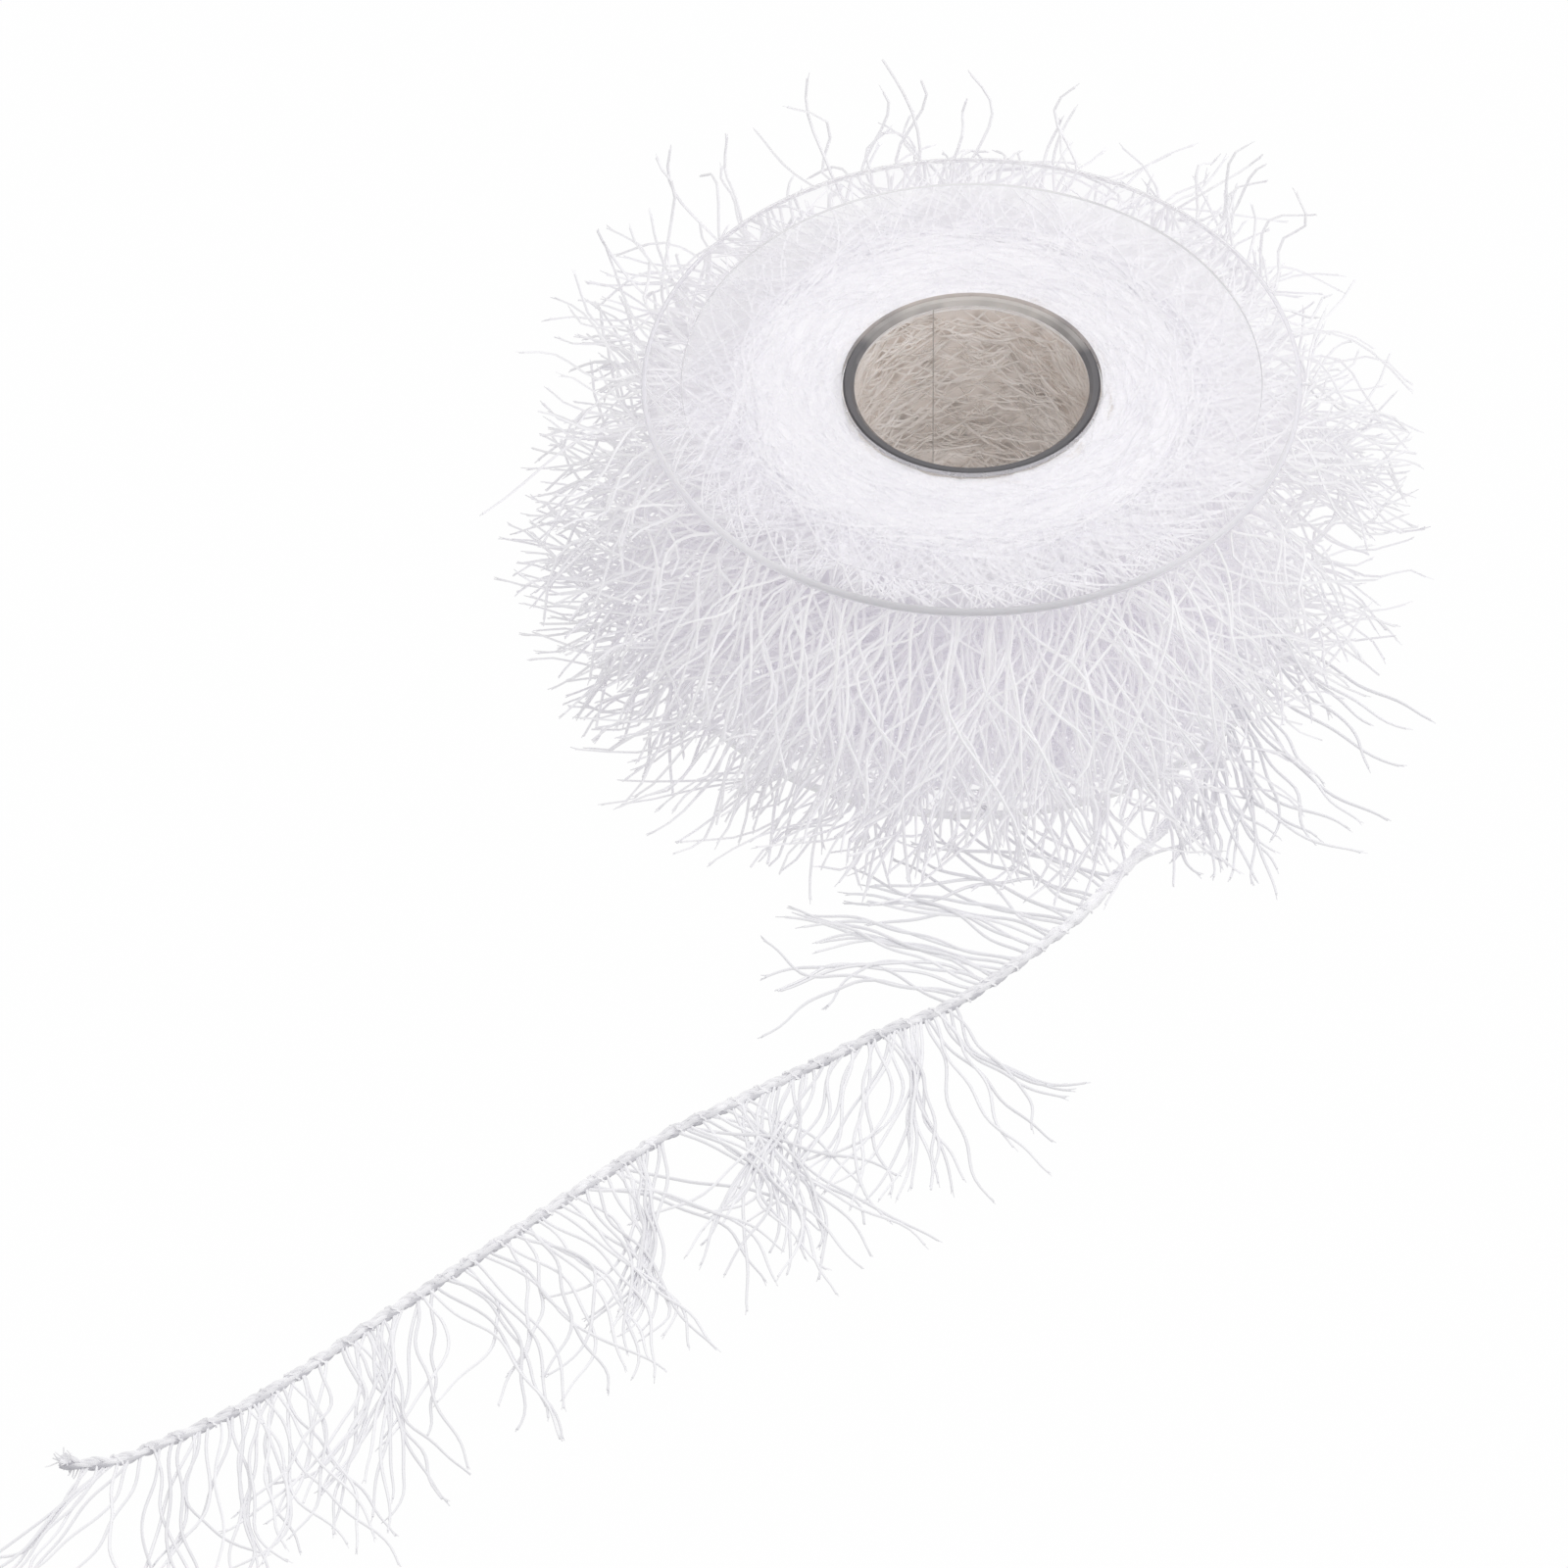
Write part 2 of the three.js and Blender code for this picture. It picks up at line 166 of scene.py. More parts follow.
def yarn_object(name, bundles, material):
    """One mesh of many strands. Each bundle is (lines, radii, tones, sides); tones has one
    value for each strand, or one for each of its points, and may also hold painted shade."""
    corners, tones, loops, starts = [], [], [], []
    corner_total = loop_total = 0
    for lines, radii, tone, sides in bundles:
        radii = np.broadcast_to(radii, lines.shape[:2])
        places, walls, caps = strand_tubes(lines, radii, sides)
        corners.append(places)
        tone = np.broadcast_to(tone.reshape(len(lines), -1), lines.shape[:2])
        tones.append(np.repeat(tone.ravel(), sides))
        for faces in (walls, caps):
            loops.append(faces.ravel() + corner_total)
            starts.append(loop_total + np.arange(len(faces)) * faces.shape[1])
            loop_total += faces.size
        corner_total += len(places)
    mesh = bpy.data.meshes.new(name)
    mesh.vertices.add(corner_total)
    mesh.vertices.foreach_set("co", np.concatenate(corners).astype(np.float32).ravel())
    mesh.loops.add(loop_total)
    mesh.loops.foreach_set("vertex_index", np.concatenate(loops).astype(np.int32))
    starts = np.concatenate(starts).astype(np.int32)
    mesh.polygons.add(len(starts))
    mesh.polygons.foreach_set("loop_start", starts)
    mesh.update(calc_edges=True)
    mesh.validate()
    mesh.polygons.foreach_set("use_smooth", np.zeros(len(mesh.polygons), bool))
    tone_attribute = mesh.attributes.new("strand_tone_and_painted_shade", "FLOAT", "POINT")
    tone_attribute.data.foreach_set("value", np.concatenate(tones).astype(np.float32))
    mesh.materials.append(material)
    piece = bpy.data.objects.new(name, mesh)
    bpy.context.scene.collection.objects.link(piece)
    return piece


def node_group(name, inputs, outputs):
    """An empty shader node group with named sockets, and the nodes at its two ends."""
    group = bpy.data.node_groups.new(name, "ShaderNodeTree")
    for way, sockets in (("INPUT", inputs), ("OUTPUT", outputs)):
        for socket, kind in sockets.items():
            group.interface.new_socket(socket, in_out=way, socket_type=f"NodeSocket{kind}")
    return group, group.nodes.new("NodeGroupInput"), group.nodes.new("NodeGroupOutput")


def noise_node(tree, scale, detail):
    """Noise that stays with the piece."""
    place = tree.nodes.new("ShaderNodeTexCoord")
    noise = tree.nodes.new("ShaderNodeTexNoise")
    noise.inputs["Scale"].default_value = scale
    noise.inputs["Detail"].default_value = detail
    tree.links.new(place.outputs["Object"], noise.inputs["Vector"])
    return noise


def math_node(tree, operation, first, second):
    """Joins a socket with another one, or with a plain number."""
    node = tree.nodes.new("ShaderNodeMath")
    node.operation = operation
    tree.links.new(first, node.inputs[0])
    if isinstance(second, (int, float)):
        node.inputs[1].default_value = second
    else:
        tree.links.new(second, node.inputs[1])
    return node


def colour_blend(tree, share, first, second):
    blend = tree.nodes.new("ShaderNodeMix")
    blend.data_type = "RGBA"
    tree.links.new(share, blend.inputs["Factor"])
    tree.links.new(first, blend.inputs["A"])
    tree.links.new(second, blend.inputs["B"])
    return blend


def yarn_fibre_group():
    """Colour of white yarn: each strand has its own tone, which may also hold painted shade, with faint
    mottling along it.
    """
    group, given, result = node_group(
        "yarn_fibres", {"Pale": "Color", "Shade": "Color", "Mottle": "Float"},
        {"Color": "Color", "Roughness": "Float"},
    )
    tone = group.nodes.new("ShaderNodeAttribute")
    tone.attribute_name = "strand_tone_and_painted_shade"
    mottle = noise_node(group, MOTTLE_SCALE, detail=0)
    centred = math_node(group, "SUBTRACT", mottle.outputs["Fac"], 0.5)
    spread = math_node(group, "MULTIPLY", centred.outputs[0], given.outputs["Mottle"])
    shift = math_node(group, "ADD", spread.outputs[0], tone.outputs["Fac"])
    shift.use_clamp = True
    blend = colour_blend(group, shift.outputs[0], given.outputs["Pale"], given.outputs["Shade"])
    rough = group.nodes.new("ShaderNodeMapRange")
    rough.inputs["To Min"].default_value = YARN_SMOOTHEST
    rough.inputs["To Max"].default_value = YARN_ROUGHEST
    group.links.new(mottle.outputs["Fac"], rough.inputs["Value"])
    group.links.new(blend.outputs["Result"], result.inputs["Color"])
    group.links.new(rough.outputs["Result"], result.inputs["Roughness"])
    return group


yarn_fibres = yarn_fibre_group()


def yarn_material(name, pale, shade, mottle):
    material = bpy.data.materials.new(name)
    material.use_nodes = True
    nodes, links = material.node_tree.nodes, material.node_tree.links
    surface = nodes["Principled BSDF"]
    surface.inputs["Specular IOR Level"].default_value = YARN_SPECULAR
    fibres = nodes.new("ShaderNodeGroup")
    fibres.node_tree = yarn_fibres
    fibres.inputs["Pale"].default_value = pale
    fibres.inputs["Shade"].default_value = shade
    fibres.inputs["Mottle"].default_value = mottle
    links.new(fibres.outputs["Color"], surface.inputs["Base Color"])
    links.new(fibres.outputs["Roughness"], surface.inputs["Roughness"])
    return material


header_random = np.random.default_rng(7)
header_line = smooth_curve(HEADER_ROUTE, HEADER_STEP)
header_along = unit(np.gradient(header_line, axis=0))
header_left = unit(np.cross(UP, header_along))
header_over = np.cross(header_along, header_left)
header_distance = np.arange(len(header_line)) * HEADER_STEP
header_length = np.linalg.norm(np.diff(header_line, axis=0), axis=1).sum()

# Three plies cross over each other as in a braid, each of a few twisted yarns
from_end = header_length - header_distance
swell = 1 + END_SWELL * np.exp(-((from_end - END_SWELL_LENGTH / 2) / END_SWELL_LENGTH) ** 2)
yarn_lines, yarn_painted_shade_sides = [], []
for ply in range(BRAID_PLIES):
    phase = 2 * math.pi * (header_distance / BRAID_PERIOD + ply / BRAID_PLIES)
    aside = BRAID_SIDEWAYS * np.sin(phase) * swell
    above = BRAID_UPRIGHT * np.sin(2 * phase) * swell
    for yarn in range(PLY_YARNS):
        twist = 2 * math.pi * (header_distance / PLY_LAY + yarn / PLY_YARNS)
        to_left = aside + PLY_YARN_OFFSET * np.cos(twist)
        to_top = above + PLY_YARN_OFFSET * np.sin(twist)
        yarn_lines.append(header_line + header_left * to_left[:, None] + header_over * to_top[:, None])
        yarn_painted_shade_sides.append(to_left - to_top)
yarn_lines = np.array(yarn_lines)
yarn_tones_and_shade = header_random.uniform(*PLY_YARN_TONES, (len(yarn_lines), 1))
# Painted shade on the front and lower side of each yarn
yarn_tones_and_shade = yarn_tones_and_shade + np.interp(np.array(yarn_painted_shade_sides), *HEADER_PAINTED_UNDERSIDE_SHADE)
yarn_tones_and_shade = yarn_tones_and_shade * np.interp(header_distance, *HEADER_OPEN)
header_bundles = [(yarn_lines, PLY_YARN_RADIUS, yarn_tones_and_shade, PLY_YARN_SIDES)]

# A thin stitch yarn is looped round the plies at each stitch
stitch_starts = np.arange(STITCH_PITCH, header_length - STITCH_PITCH, STITCH_PITCH)
stitch_uneven = header_random.uniform(-STITCH_UNEVEN_MM, STITCH_UNEVEN_MM, len(stitch_starts))
stitch_starts = stitch_starts + stitch_uneven * MM
stitch_share = np.linspace(0, 1, STITCH_POINTS)
stitch_turn = STITCH_FROM + STITCH_TURN * stitch_share
stitch_aside = (STITCH_RADIUS * np.cos(stitch_turn))[:, None]
stitch_above = (STITCH_FLATNESS * STITCH_RADIUS * np.sin(stitch_turn))[:, None]
stitch_lines = []
for start in stitch_starts:
    rows = np.round((start + STITCH_ADVANCE * stitch_share) / HEADER_STEP).astype(int)
    stitch_lines.append(
        header_line[rows] + header_left[rows] * stitch_aside + header_over[rows] * stitch_above
    )
stitch_lines = np.array(stitch_lines)
stitch_tones = header_random.uniform(*STITCH_TONES, len(stitch_lines))
stitch_tones = stitch_tones * np.interp(stitch_starts, *HEADER_OPEN)
header_bundles.append((stitch_lines, STITCH_YARN_RADIUS, stitch_tones, STITCH_YARN_SIDES))

# Loose filaments at the cut
cut_share = np.linspace(0, 1, CUT_POINTS)[None, :, None]
cut_back = header_random.uniform(0, CUT_ZONE_MM, (CUT_FILAMENTS, 1))
cut_start = header_line[-1] - header_along[-1] * cut_back * MM
cut_way = unit(header_random.normal(0, 1, (CUT_FILAMENTS, 3)) + CUT_FORWARD * header_along[-1])
cut_curl = header_random.normal(0, CUT_CURL, (CUT_FILAMENTS, 3))
cut_reach = CUT_FILAMENT_LENGTH * header_random.uniform(*CUT_LENGTH_SHARES, (CUT_FILAMENTS, 1))
cut_lines = (
    cut_start[:, None]
    + (cut_way * cut_reach)[:, None] * cut_share
    + (cut_curl * cut_reach)[:, None] * cut_share ** 2
)
cut_lines[..., 2] = cut_lines[..., 2].clip(CUT_LOWEST)
cut_tones = header_random.uniform(*CUT_TONES, CUT_FILAMENTS)
header_bundles.append((cut_lines, CUT_FILAMENT_RADIUS, cut_tones, FINE_SIDES))

header_yarn = yarn_material("white_header_yarn", HEADER_PALE, HEADER_SHADE, mottle=0.5)
header_piece = yarn_object("loose_header", header_bundles, header_yarn)
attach(header_piece, "root")
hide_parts("tail_header")

# Fringe of the loose end: fine polyester strands caught in the header's stitches, lying on
# the surface in loose clumps: beside the header where it comes down, behind it after that,
# and in front of it further out.
# Columns: from and to in millimetres along the header, strands, direction at the root and at
# the tip in degrees round from the front (positive to the right), length, and how far they gather.
SIDE_CLUMPS = [
    (14, 22, 3, 62, 66, 35, 0.3),
    (20, 28, 3, 34, 40, 34, 0.4),
    (28, 34, 3, 24, 38, 38, 0.4),
    (33, 41, 6, 18, 20, 36, 0.75),
    (38, 46, 7, 4, 14, 28, 0.7),
    (44, 52, 6, 0, 12, 19, 0.5),
    (50, 58, 5, -6, 10, 14, 0.4),
]
FRONT_CLUMPS = [
    (111, 115, 4, 15, 84, 30, 0.6),
    (113, 117, 3, 30, 52, 37, 0.7),
    (115, 118, 2, 12, 40, 41, 0.3),
    (117, 126, 10, 14, -12, 39, 0.7),
    (121, 133, 8, -6, -24, 39, 0.6),
    (119, 121, 2, 6, 22, 42, 0.0),
    (134, 146, 8, -12, -48, 43, 0.75),
    (138, 152, 8, 0, -8, 44, 0.5),
    (148, 163, 10, 52, 4, 43, 0.8),
    (150, 162, 3, 70, 30, 36, 0.4),
    (163, 174, 7, 12, -30, 40, 0.7),
    (168, 180, 7, 24, 0, 41, 0.7),
    (172, 182, 4, 78, 24, 36, 0.5),
    (182, 197, 10, 58, -10, 42, 0.3),
    (190, 198, 3, 20, -24, 38, 0.4),
    (199, 214, 10, 48, 10, 39, 0.35),
    (210, 216, 3, 8, -6, 38, 0.4),
    (216, 228, 7, 8, -38, 42, 0.75),
    (218, 231, 7, 14, 2, 43, 0.6),
    (222, 229, 2, 24, 16, 40, 0.2),
    (232, 236, 2, 6, -4, 40, 0.2),
    (236, 250, 8, 24, -14, 42, 0.5),
    (239, 252, 8, -6, 12, 42, 0.5),
    (252, 259, 5, 2, -14, 38, 0.5),
    (257, 266, 5, -6, 12, 38, 0.3),
    (266, 272, 3, -8, -20, 34, 0.4),
    (269, 277, 7, -22, -44, 37, 0.7),
]
BACK_CLUMPS = [
    (104, 112, 6, -128, -84, 35, 0.4),
    (97, 106, 8, -124, -98, 37, 0.5),
    (86, 97, 8, -126, -102, 35, 0.4),
    (74, 87, 8, -132, -112, 33, 0.4),
    (72, 78, 2, 158, 140, 20, 0.3),
]
LOOSE_POINTS = 24
LOOSE_SIDES = 6
LOOSE_RADIUS = 0.26 * MM
LOOSE_TIP_RADIUS = 0.18 * MM
LOOSE_TAPER_FROM = 0.75
LOOSE_FLOOR_HEIGHT = 0.28 * MM
LOOSE_HUMP = 1.1 * MM
LOOSE_SETTLE = 0.12
LOOSE_SETTLE_HEIGHT = 4 * MM
LOOSE_LENGTH_SHARES = (0.8, 1.02)
LOOSE_ROOT_PLACE = (0.1, 0.9)
LOOSE_GATHER = 0.6
LOOSE_GATHER_POWER = 0.9
LOOSE_PALE = (0.92, 0.915, 0.935, 1)
LOOSE_SHADE = (0.80, 0.795, 0.82, 1)
LOOSE_TONES = (0.1, 1)
# How far single strands wander from their clump, kink once and wave, in degrees
LOOSE_WANDER = 9
LOOSE_TURN_POWER = (0.7, 1.5)
LOOSE_KINK = 22
LOOSE_KINK_PLACE = (0.2, 0.85)
LOOSE_KINK_SHARPNESS = 40
LOOSE_WAVE = 12
LOOSE_WAVE_COUNT = (1.2, 3.2)
FRAY_COUNT = 3
FRAY_LENGTH = 2.8 * MM
FRAY_LENGTH_SHARES = (0.45, 1)
FRAY_OVERLAP = 1.6 * MM
FRAY_RADIUS = 0.14 * MM
FRAY_TIP_SHARE = 0.55
FRAY_SPREAD = 0.045
FRAY_CURL = 0.06
FRAY_POINTS = 4
FRAY_LOWEST = 0.15 * MM


def frayed_tips(lines, tones, random):
    """Fine filaments that spread out from the cut tip of each strand."""
    heading = np.repeat(unit(lines[:, -1] - lines[:, -2]), FRAY_COUNT, axis=0)
    start = np.repeat(lines[:, -1], FRAY_COUNT, axis=0) - heading * FRAY_OVERLAP
    way = unit(heading + random.normal(0, FRAY_SPREAD, heading.shape))
    curl = random.normal(0, FRAY_CURL, heading.shape)
    reach = FRAY_LENGTH * random.uniform(*FRAY_LENGTH_SHARES, (len(start), 1))
    share = np.linspace(0, 1, FRAY_POINTS)[None, :, None]
    paths = start[:, None] + (way * reach)[:, None] * share + (curl * reach)[:, None] * share ** 2
    paths[..., 2] = paths[..., 2].clip(FRAY_LOWEST)
    taper = np.linspace(1, FRAY_TIP_SHARE, FRAY_POINTS)[None, :]
    return paths, FRAY_RADIUS * taper, np.repeat(tones, FRAY_COUNT), FINE_SIDES


def lying_strands(clumps, random):
    """Paths of loose strands on the surface, from a table of clumps."""
    share = np.linspace(0, 1, LOOSE_POINTS)
    drawn = []
    for start, stop, count, first, last, length, gather in clumps:
        place = np.arange(count) + random.uniform(*LOOSE_ROOT_PLACE, count)
        root_at = start + (stop - start) * place / count
        rows = np.round(root_at * MM / HEADER_STEP).astype(int)
        wander = random.normal(0, LOOSE_WANDER, (count, 2))
        turn = share ** random.uniform(*LOOSE_TURN_POWER, (count, 1))
        heading = (first + wander[:, :1]) * (1 - turn) + (last + wander[:, 1:]) * turn
        kink_at = random.uniform(*LOOSE_KINK_PLACE, (count, 1))
        kink = random.normal(0, LOOSE_KINK, (count, 1))
        heading = heading + kink / (1 + np.exp(-(share - kink_at) * LOOSE_KINK_SHARPNESS))
        phase = random.uniform(0, 2 * math.pi, (count, 1))
        waves = random.uniform(*LOOSE_WAVE_COUNT, (count, 1))
        heading = heading + LOOSE_WAVE * np.sin(phase + 2 * math.pi * waves * share)
        angle = np.radians(heading)
        stride = length * MM * random.uniform(*LOOSE_LENGTH_SHARES, (count, 1)) / (LOOSE_POINTS - 1)
        flat = np.stack([np.sin(angle) * stride, -np.cos(angle) * stride], axis=-1)
        flat = np.cumsum(flat, axis=1) - flat[:, :1] + header_line[rows][:, None, :2]
        middle = flat.mean(axis=0)
        pull = 1 - LOOSE_GATHER * gather * np.sin(math.pi * share ** LOOSE_GATHER_POWER) ** 2
        flat = middle + (flat - middle) * pull[None, :, None]
        hump = LOOSE_HUMP * random.uniform(0, 1, (count, 1)) ** 2
        hump = hump * np.sin(math.pi * share) ** 2
        root_height = header_line[rows, 2][:, None]
        settle = LOOSE_SETTLE * (1 + root_height / LOOSE_SETTLE_HEIGHT)
        fall = (root_height - LOOSE_FLOOR_HEIGHT) * np.exp(-share / settle)
        height = LOOSE_FLOOR_HEIGHT + hump + fall
        drawn.append(np.concatenate([flat, height[..., None]], axis=-1))
    return np.concatenate(drawn)


loose_taper = np.interp(
    np.linspace(0, 1, LOOSE_POINTS), [0, LOOSE_TAPER_FROM, 1], [1, 1, LOOSE_TIP_RADIUS / LOOSE_RADIUS],
)
loose_radii = LOOSE_RADIUS * loose_taper[None, :]
loose_yarn = yarn_material("white_loose_fringe", LOOSE_PALE, LOOSE_SHADE, mottle=0.4)
for loose_name, loose_node, loose_clumps, loose_seed in (
    ("loose_fringe_side", "tail_fringe_side", SIDE_CLUMPS, 23),
    ("loose_fringe_front", "tail_fringe_front", FRONT_CLUMPS, 21),
    ("loose_fringe_back", "tail_fringe_back", BACK_CLUMPS, 22),
):
    loose_random = np.random.default_rng(loose_seed)
    loose_lines = lying_strands(loose_clumps, loose_random)
    loose_tones = loose_random.uniform(*LOOSE_TONES, len(loose_lines))
    loose_tips = frayed_tips(loose_lines, loose_tones, loose_random)
    loose_strands = (loose_lines, loose_radii, loose_tones, LOOSE_SIDES)
    loose_piece = yarn_object(loose_name, [loose_strands, loose_tips], loose_yarn)
    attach(loose_piece, "root")
    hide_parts(loose_node)

# Discs of the spool: clear moulded polystyrene, 100 mm across, with a raised rim and a raised
# collar on the outer face. They are pushed onto the ends of the hub tube and glued.
SPOOL_HEIGHT = 44 * MM
DISC_RADIUS = 50 * MM
DISC_THICKNESS = 1.5 * MM
DISC_HOLE = 19.8 * MM
COLLAR_EDGE = 21.2 * MM
RIM_EDGE = 44 * MM
WEB_RECESS = 0.4 * MM
COLLAR_SLOPE = 2.4 * MM
RIM_SLOPE = 0.12 * MM
WEB_FROST = 0.26
EDGE_BREAK = 0.3 * MM
ROUND_STEPS = 8
TURNED_SEGMENTS = 180
SHARP_ANGLE = math.radians(28)
CLEAR_TINT = (0.97, 0.965, 0.975, 1)
EDGE_TINT = (0.94, 0.93, 0.965, 1)
# Painted reflection: back colour of the edges, paler than the front
EDGE_BACK_PAINTED_REFLECTION = (0.97, 0.965, 0.98, 1)
STEP_TINT = (0.97, 0.97, 0.98, 1)
# Painted shade: the step line is tinted grey and the hole wall dark in front; their backs are paler as
# painted reflection
LINE_PAINTED_SHADE = (0.78, 0.77, 0.80, 1)
HOLE_PAINTED_SHADE = (0.30, 0.29, 0.31, 1)
HOLE_BACK_PAINTED_REFLECTION = (0.68, 0.62, 0.585, 1)
LAMP_TINT = (0.97, 0.97, 0.975, 1)
PLASTIC_IOR = 1.49
RIM_IOR = 1.06
FLOW_SCALE = 38
FLOW_STRENGTH = 0.06
FLOW_DEPTH = 0.1 * MM
SCUFF_SCALE = 900
SCUFF_FROM = 0.5
SCUFF_TO = 0.8
SCUFF_DULLNESS = 0.06
# Streaks and spread of the painted reflection on the edges
REFLECTION_STREAK_SCALE = 180
EDGE_REFLECTION_FROM = 0.75
EDGE_REFLECTION_TO = 1.5


def moulding_group():
    """Faint flow marks and fine scuffs of moulded clear plastic, as roughness and height."""
    group, given, result = node_group(
        "moulding_marks", {"Polish": "Float"}, {"Roughness": "Float", "Height": "Float"},
    )
    flow = noise_node(group, FLOW_SCALE, detail=2)
    scuff = noise_node(group, SCUFF_SCALE, detail=4)
    dull = group.nodes.new("ShaderNodeMapRange")
    dull.inputs["From Min"].default_value = SCUFF_FROM
    dull.inputs["From Max"].default_value = SCUFF_TO
    dull.inputs["To Max"].default_value = SCUFF_DULLNESS
    group.links.new(scuff.outputs["Fac"], dull.inputs["Value"])
    total = math_node(group, "ADD", dull.outputs["Result"], given.outputs["Polish"])
    group.links.new(total.outputs[0], result.inputs["Roughness"])
    group.links.new(flow.outputs["Fac"], result.inputs["Height"])
    return group


moulding_marks = moulding_group()


def painted_edge_reflection_group():
    """Tint of a clear edge with painted reflection: paler towards the back, where the bright surface would
    show in it.
    """
    group, given, result = node_group(
        "painted_edge_reflection", {"Front": "Color", "Back": "Color", "Radius": "Float"}, {"Color": "Color"},
    )
    place = group.nodes.new("ShaderNodeTexCoord")
    split = group.nodes.new("ShaderNodeSeparateXYZ")
    group.links.new(place.outputs["Object"], split.inputs[0])
    depth = math_node(group, "DIVIDE", split.outputs["Y"], given.outputs["Radius"])
    streak = noise_node(group, REFLECTION_STREAK_SCALE, detail=2)
    shift = math_node(group, "ADD", depth.outputs[0], streak.outputs["Fac"])
    share = group.nodes.new("ShaderNodeMapRange")
    share.inputs["From Min"].default_value = EDGE_REFLECTION_FROM
    share.inputs["From Max"].default_value = EDGE_REFLECTION_TO
    group.links.new(shift.outputs[0], share.inputs["Value"])
    blend = colour_blend(group, share.outputs["Result"], given.outputs["Front"], given.outputs["Back"])
    group.links.new(blend.outputs["Result"], result.inputs["Color"])
    return group


painted_edge_reflection = painted_edge_reflection_group()


def paint_edge_reflection(material, front, back, radius):
    """Paints a reflection on an edge: its tint goes from the front colour to the paler back colour."""
    nodes, links = material.node_tree.nodes, material.node_tree.links
    tint = nodes.new("ShaderNodeGroup")
    tint.node_tree = painted_edge_reflection
    tint.inputs["Front"].default_value = front
    tint.inputs["Back"].default_value = back
    tint.inputs["Radius"].default_value = radius
    links.new(tint.outputs["Color"], nodes["Principled BSDF"].inputs["Base Color"])


def clear_plastic(name, tint, polish, clarity, bend):
    """Clear plastic that bends what is seen through it. A higher polish value is duller.
    Where a scene has lamps, their light passes straight through."""
    material = bpy.data.materials.new(name)
    material.use_nodes = True
    nodes, links = material.node_tree.nodes, material.node_tree.links
    surface = nodes["Principled BSDF"]
    surface.inputs["Base Color"].default_value = tint
    surface.inputs["Transmission Weight"].default_value = clarity
    surface.inputs["IOR"].default_value = bend
    marks = nodes.new("ShaderNodeGroup")
    marks.node_tree = moulding_marks
    marks.inputs["Polish"].default_value = polish
    bump = nodes.new("ShaderNodeBump")
    bump.inputs["Strength"].default_value = FLOW_STRENGTH
    bump.inputs["Distance"].default_value = FLOW_DEPTH
    links.new(marks.outputs["Roughness"], surface.inputs["Roughness"])
    links.new(marks.outputs["Height"], bump.inputs["Height"])
    links.new(bump.outputs["Normal"], surface.inputs["Normal"])
    ray = nodes.new("ShaderNodeLightPath")
    pane = nodes.new("ShaderNodeBsdfTransparent")
    pane.inputs["Color"].default_value = LAMP_TINT
    choice = nodes.new("ShaderNodeMixShader")
    links.new(ray.outputs["Is Shadow Ray"], choice.inputs[0])
    links.new(surface.outputs[0], choice.inputs[1])
    links.new(pane.outputs[0], choice.inputs[2])
    links.new(choice.outputs[0], nodes["Material Output"].inputs["Surface"])
    return material


def turned_object(name, profile, finishes, materials):
    """A closed profile of radius and height turned about the spool's axis.
    finishes gives the material number of the band from each profile point to the next."""
    profile = np.array(profile)
    rows = len(profile)
    angle = np.arange(TURNED_SEGMENTS) * 2 * math.pi / TURNED_SEGMENTS
    corners = np.stack([
        profile[:, 0, None] * np.cos(angle),
        profile[:, 0, None] * np.sin(angle),
        np.repeat(profile[:, 1, None], TURNED_SEGMENTS, axis=1),
    ], axis=-1).reshape(-1, 3)
    faces, numbers = [], []
    for row in range(rows):
        below = (row + 1) % rows
        for step in range(TURNED_SEGMENTS):
            after = (step + 1) % TURNED_SEGMENTS
            faces.append((
                row * TURNED_SEGMENTS + step, row * TURNED_SEGMENTS + after,
                below * TURNED_SEGMENTS + after, below * TURNED_SEGMENTS + step,
            ))
            numbers.append(finishes[row])
    mesh = bpy.data.meshes.new(name)
    mesh.from_pydata(corners.tolist(), [], faces)
    mesh.polygons.foreach_set("material_index", numbers)
    mesh.polygons.foreach_set("use_smooth", np.ones(len(faces), bool))
    mesh.set_sharp_from_angle(angle=SHARP_ANGLE)
    for material in materials:
        mesh.materials.append(material)
    mesh.update()
    piece = bpy.data.objects.new(name, mesh)
    bpy.context.scene.collection.objects.link(piece)
    return piece


disc_face = clear_plastic("clear_disc_face", CLEAR_TINT, polish=0.02, clarity=1, bend=PLASTIC_IOR)
# Painted reflection: the edge, hole wall and step line are tinted paler towards the back
disc_edge = clear_plastic("clear_disc_edge", EDGE_TINT, polish=0.1, clarity=0.5, bend=RIM_IOR)
paint_edge_reflection(disc_edge, EDGE_TINT, EDGE_BACK_PAINTED_REFLECTION, DISC_RADIUS)
disc_step = clear_plastic("clear_disc_step", STEP_TINT, polish=0.08, clarity=0.2, bend=PLASTIC_IOR)
disc_web = clear_plastic("frosted_disc_web", CLEAR_TINT, polish=WEB_FROST, clarity=1, bend=PLASTIC_IOR)
# Hole wall: painted shade in front, painted reflection behind
disc_hole = clear_plastic("clear_disc_hole", HOLE_PAINTED_SHADE, polish=0.08, clarity=0.25, bend=PLASTIC_IOR)
paint_edge_reflection(disc_hole, HOLE_PAINTED_SHADE, HOLE_BACK_PAINTED_REFLECTION, DISC_HOLE)
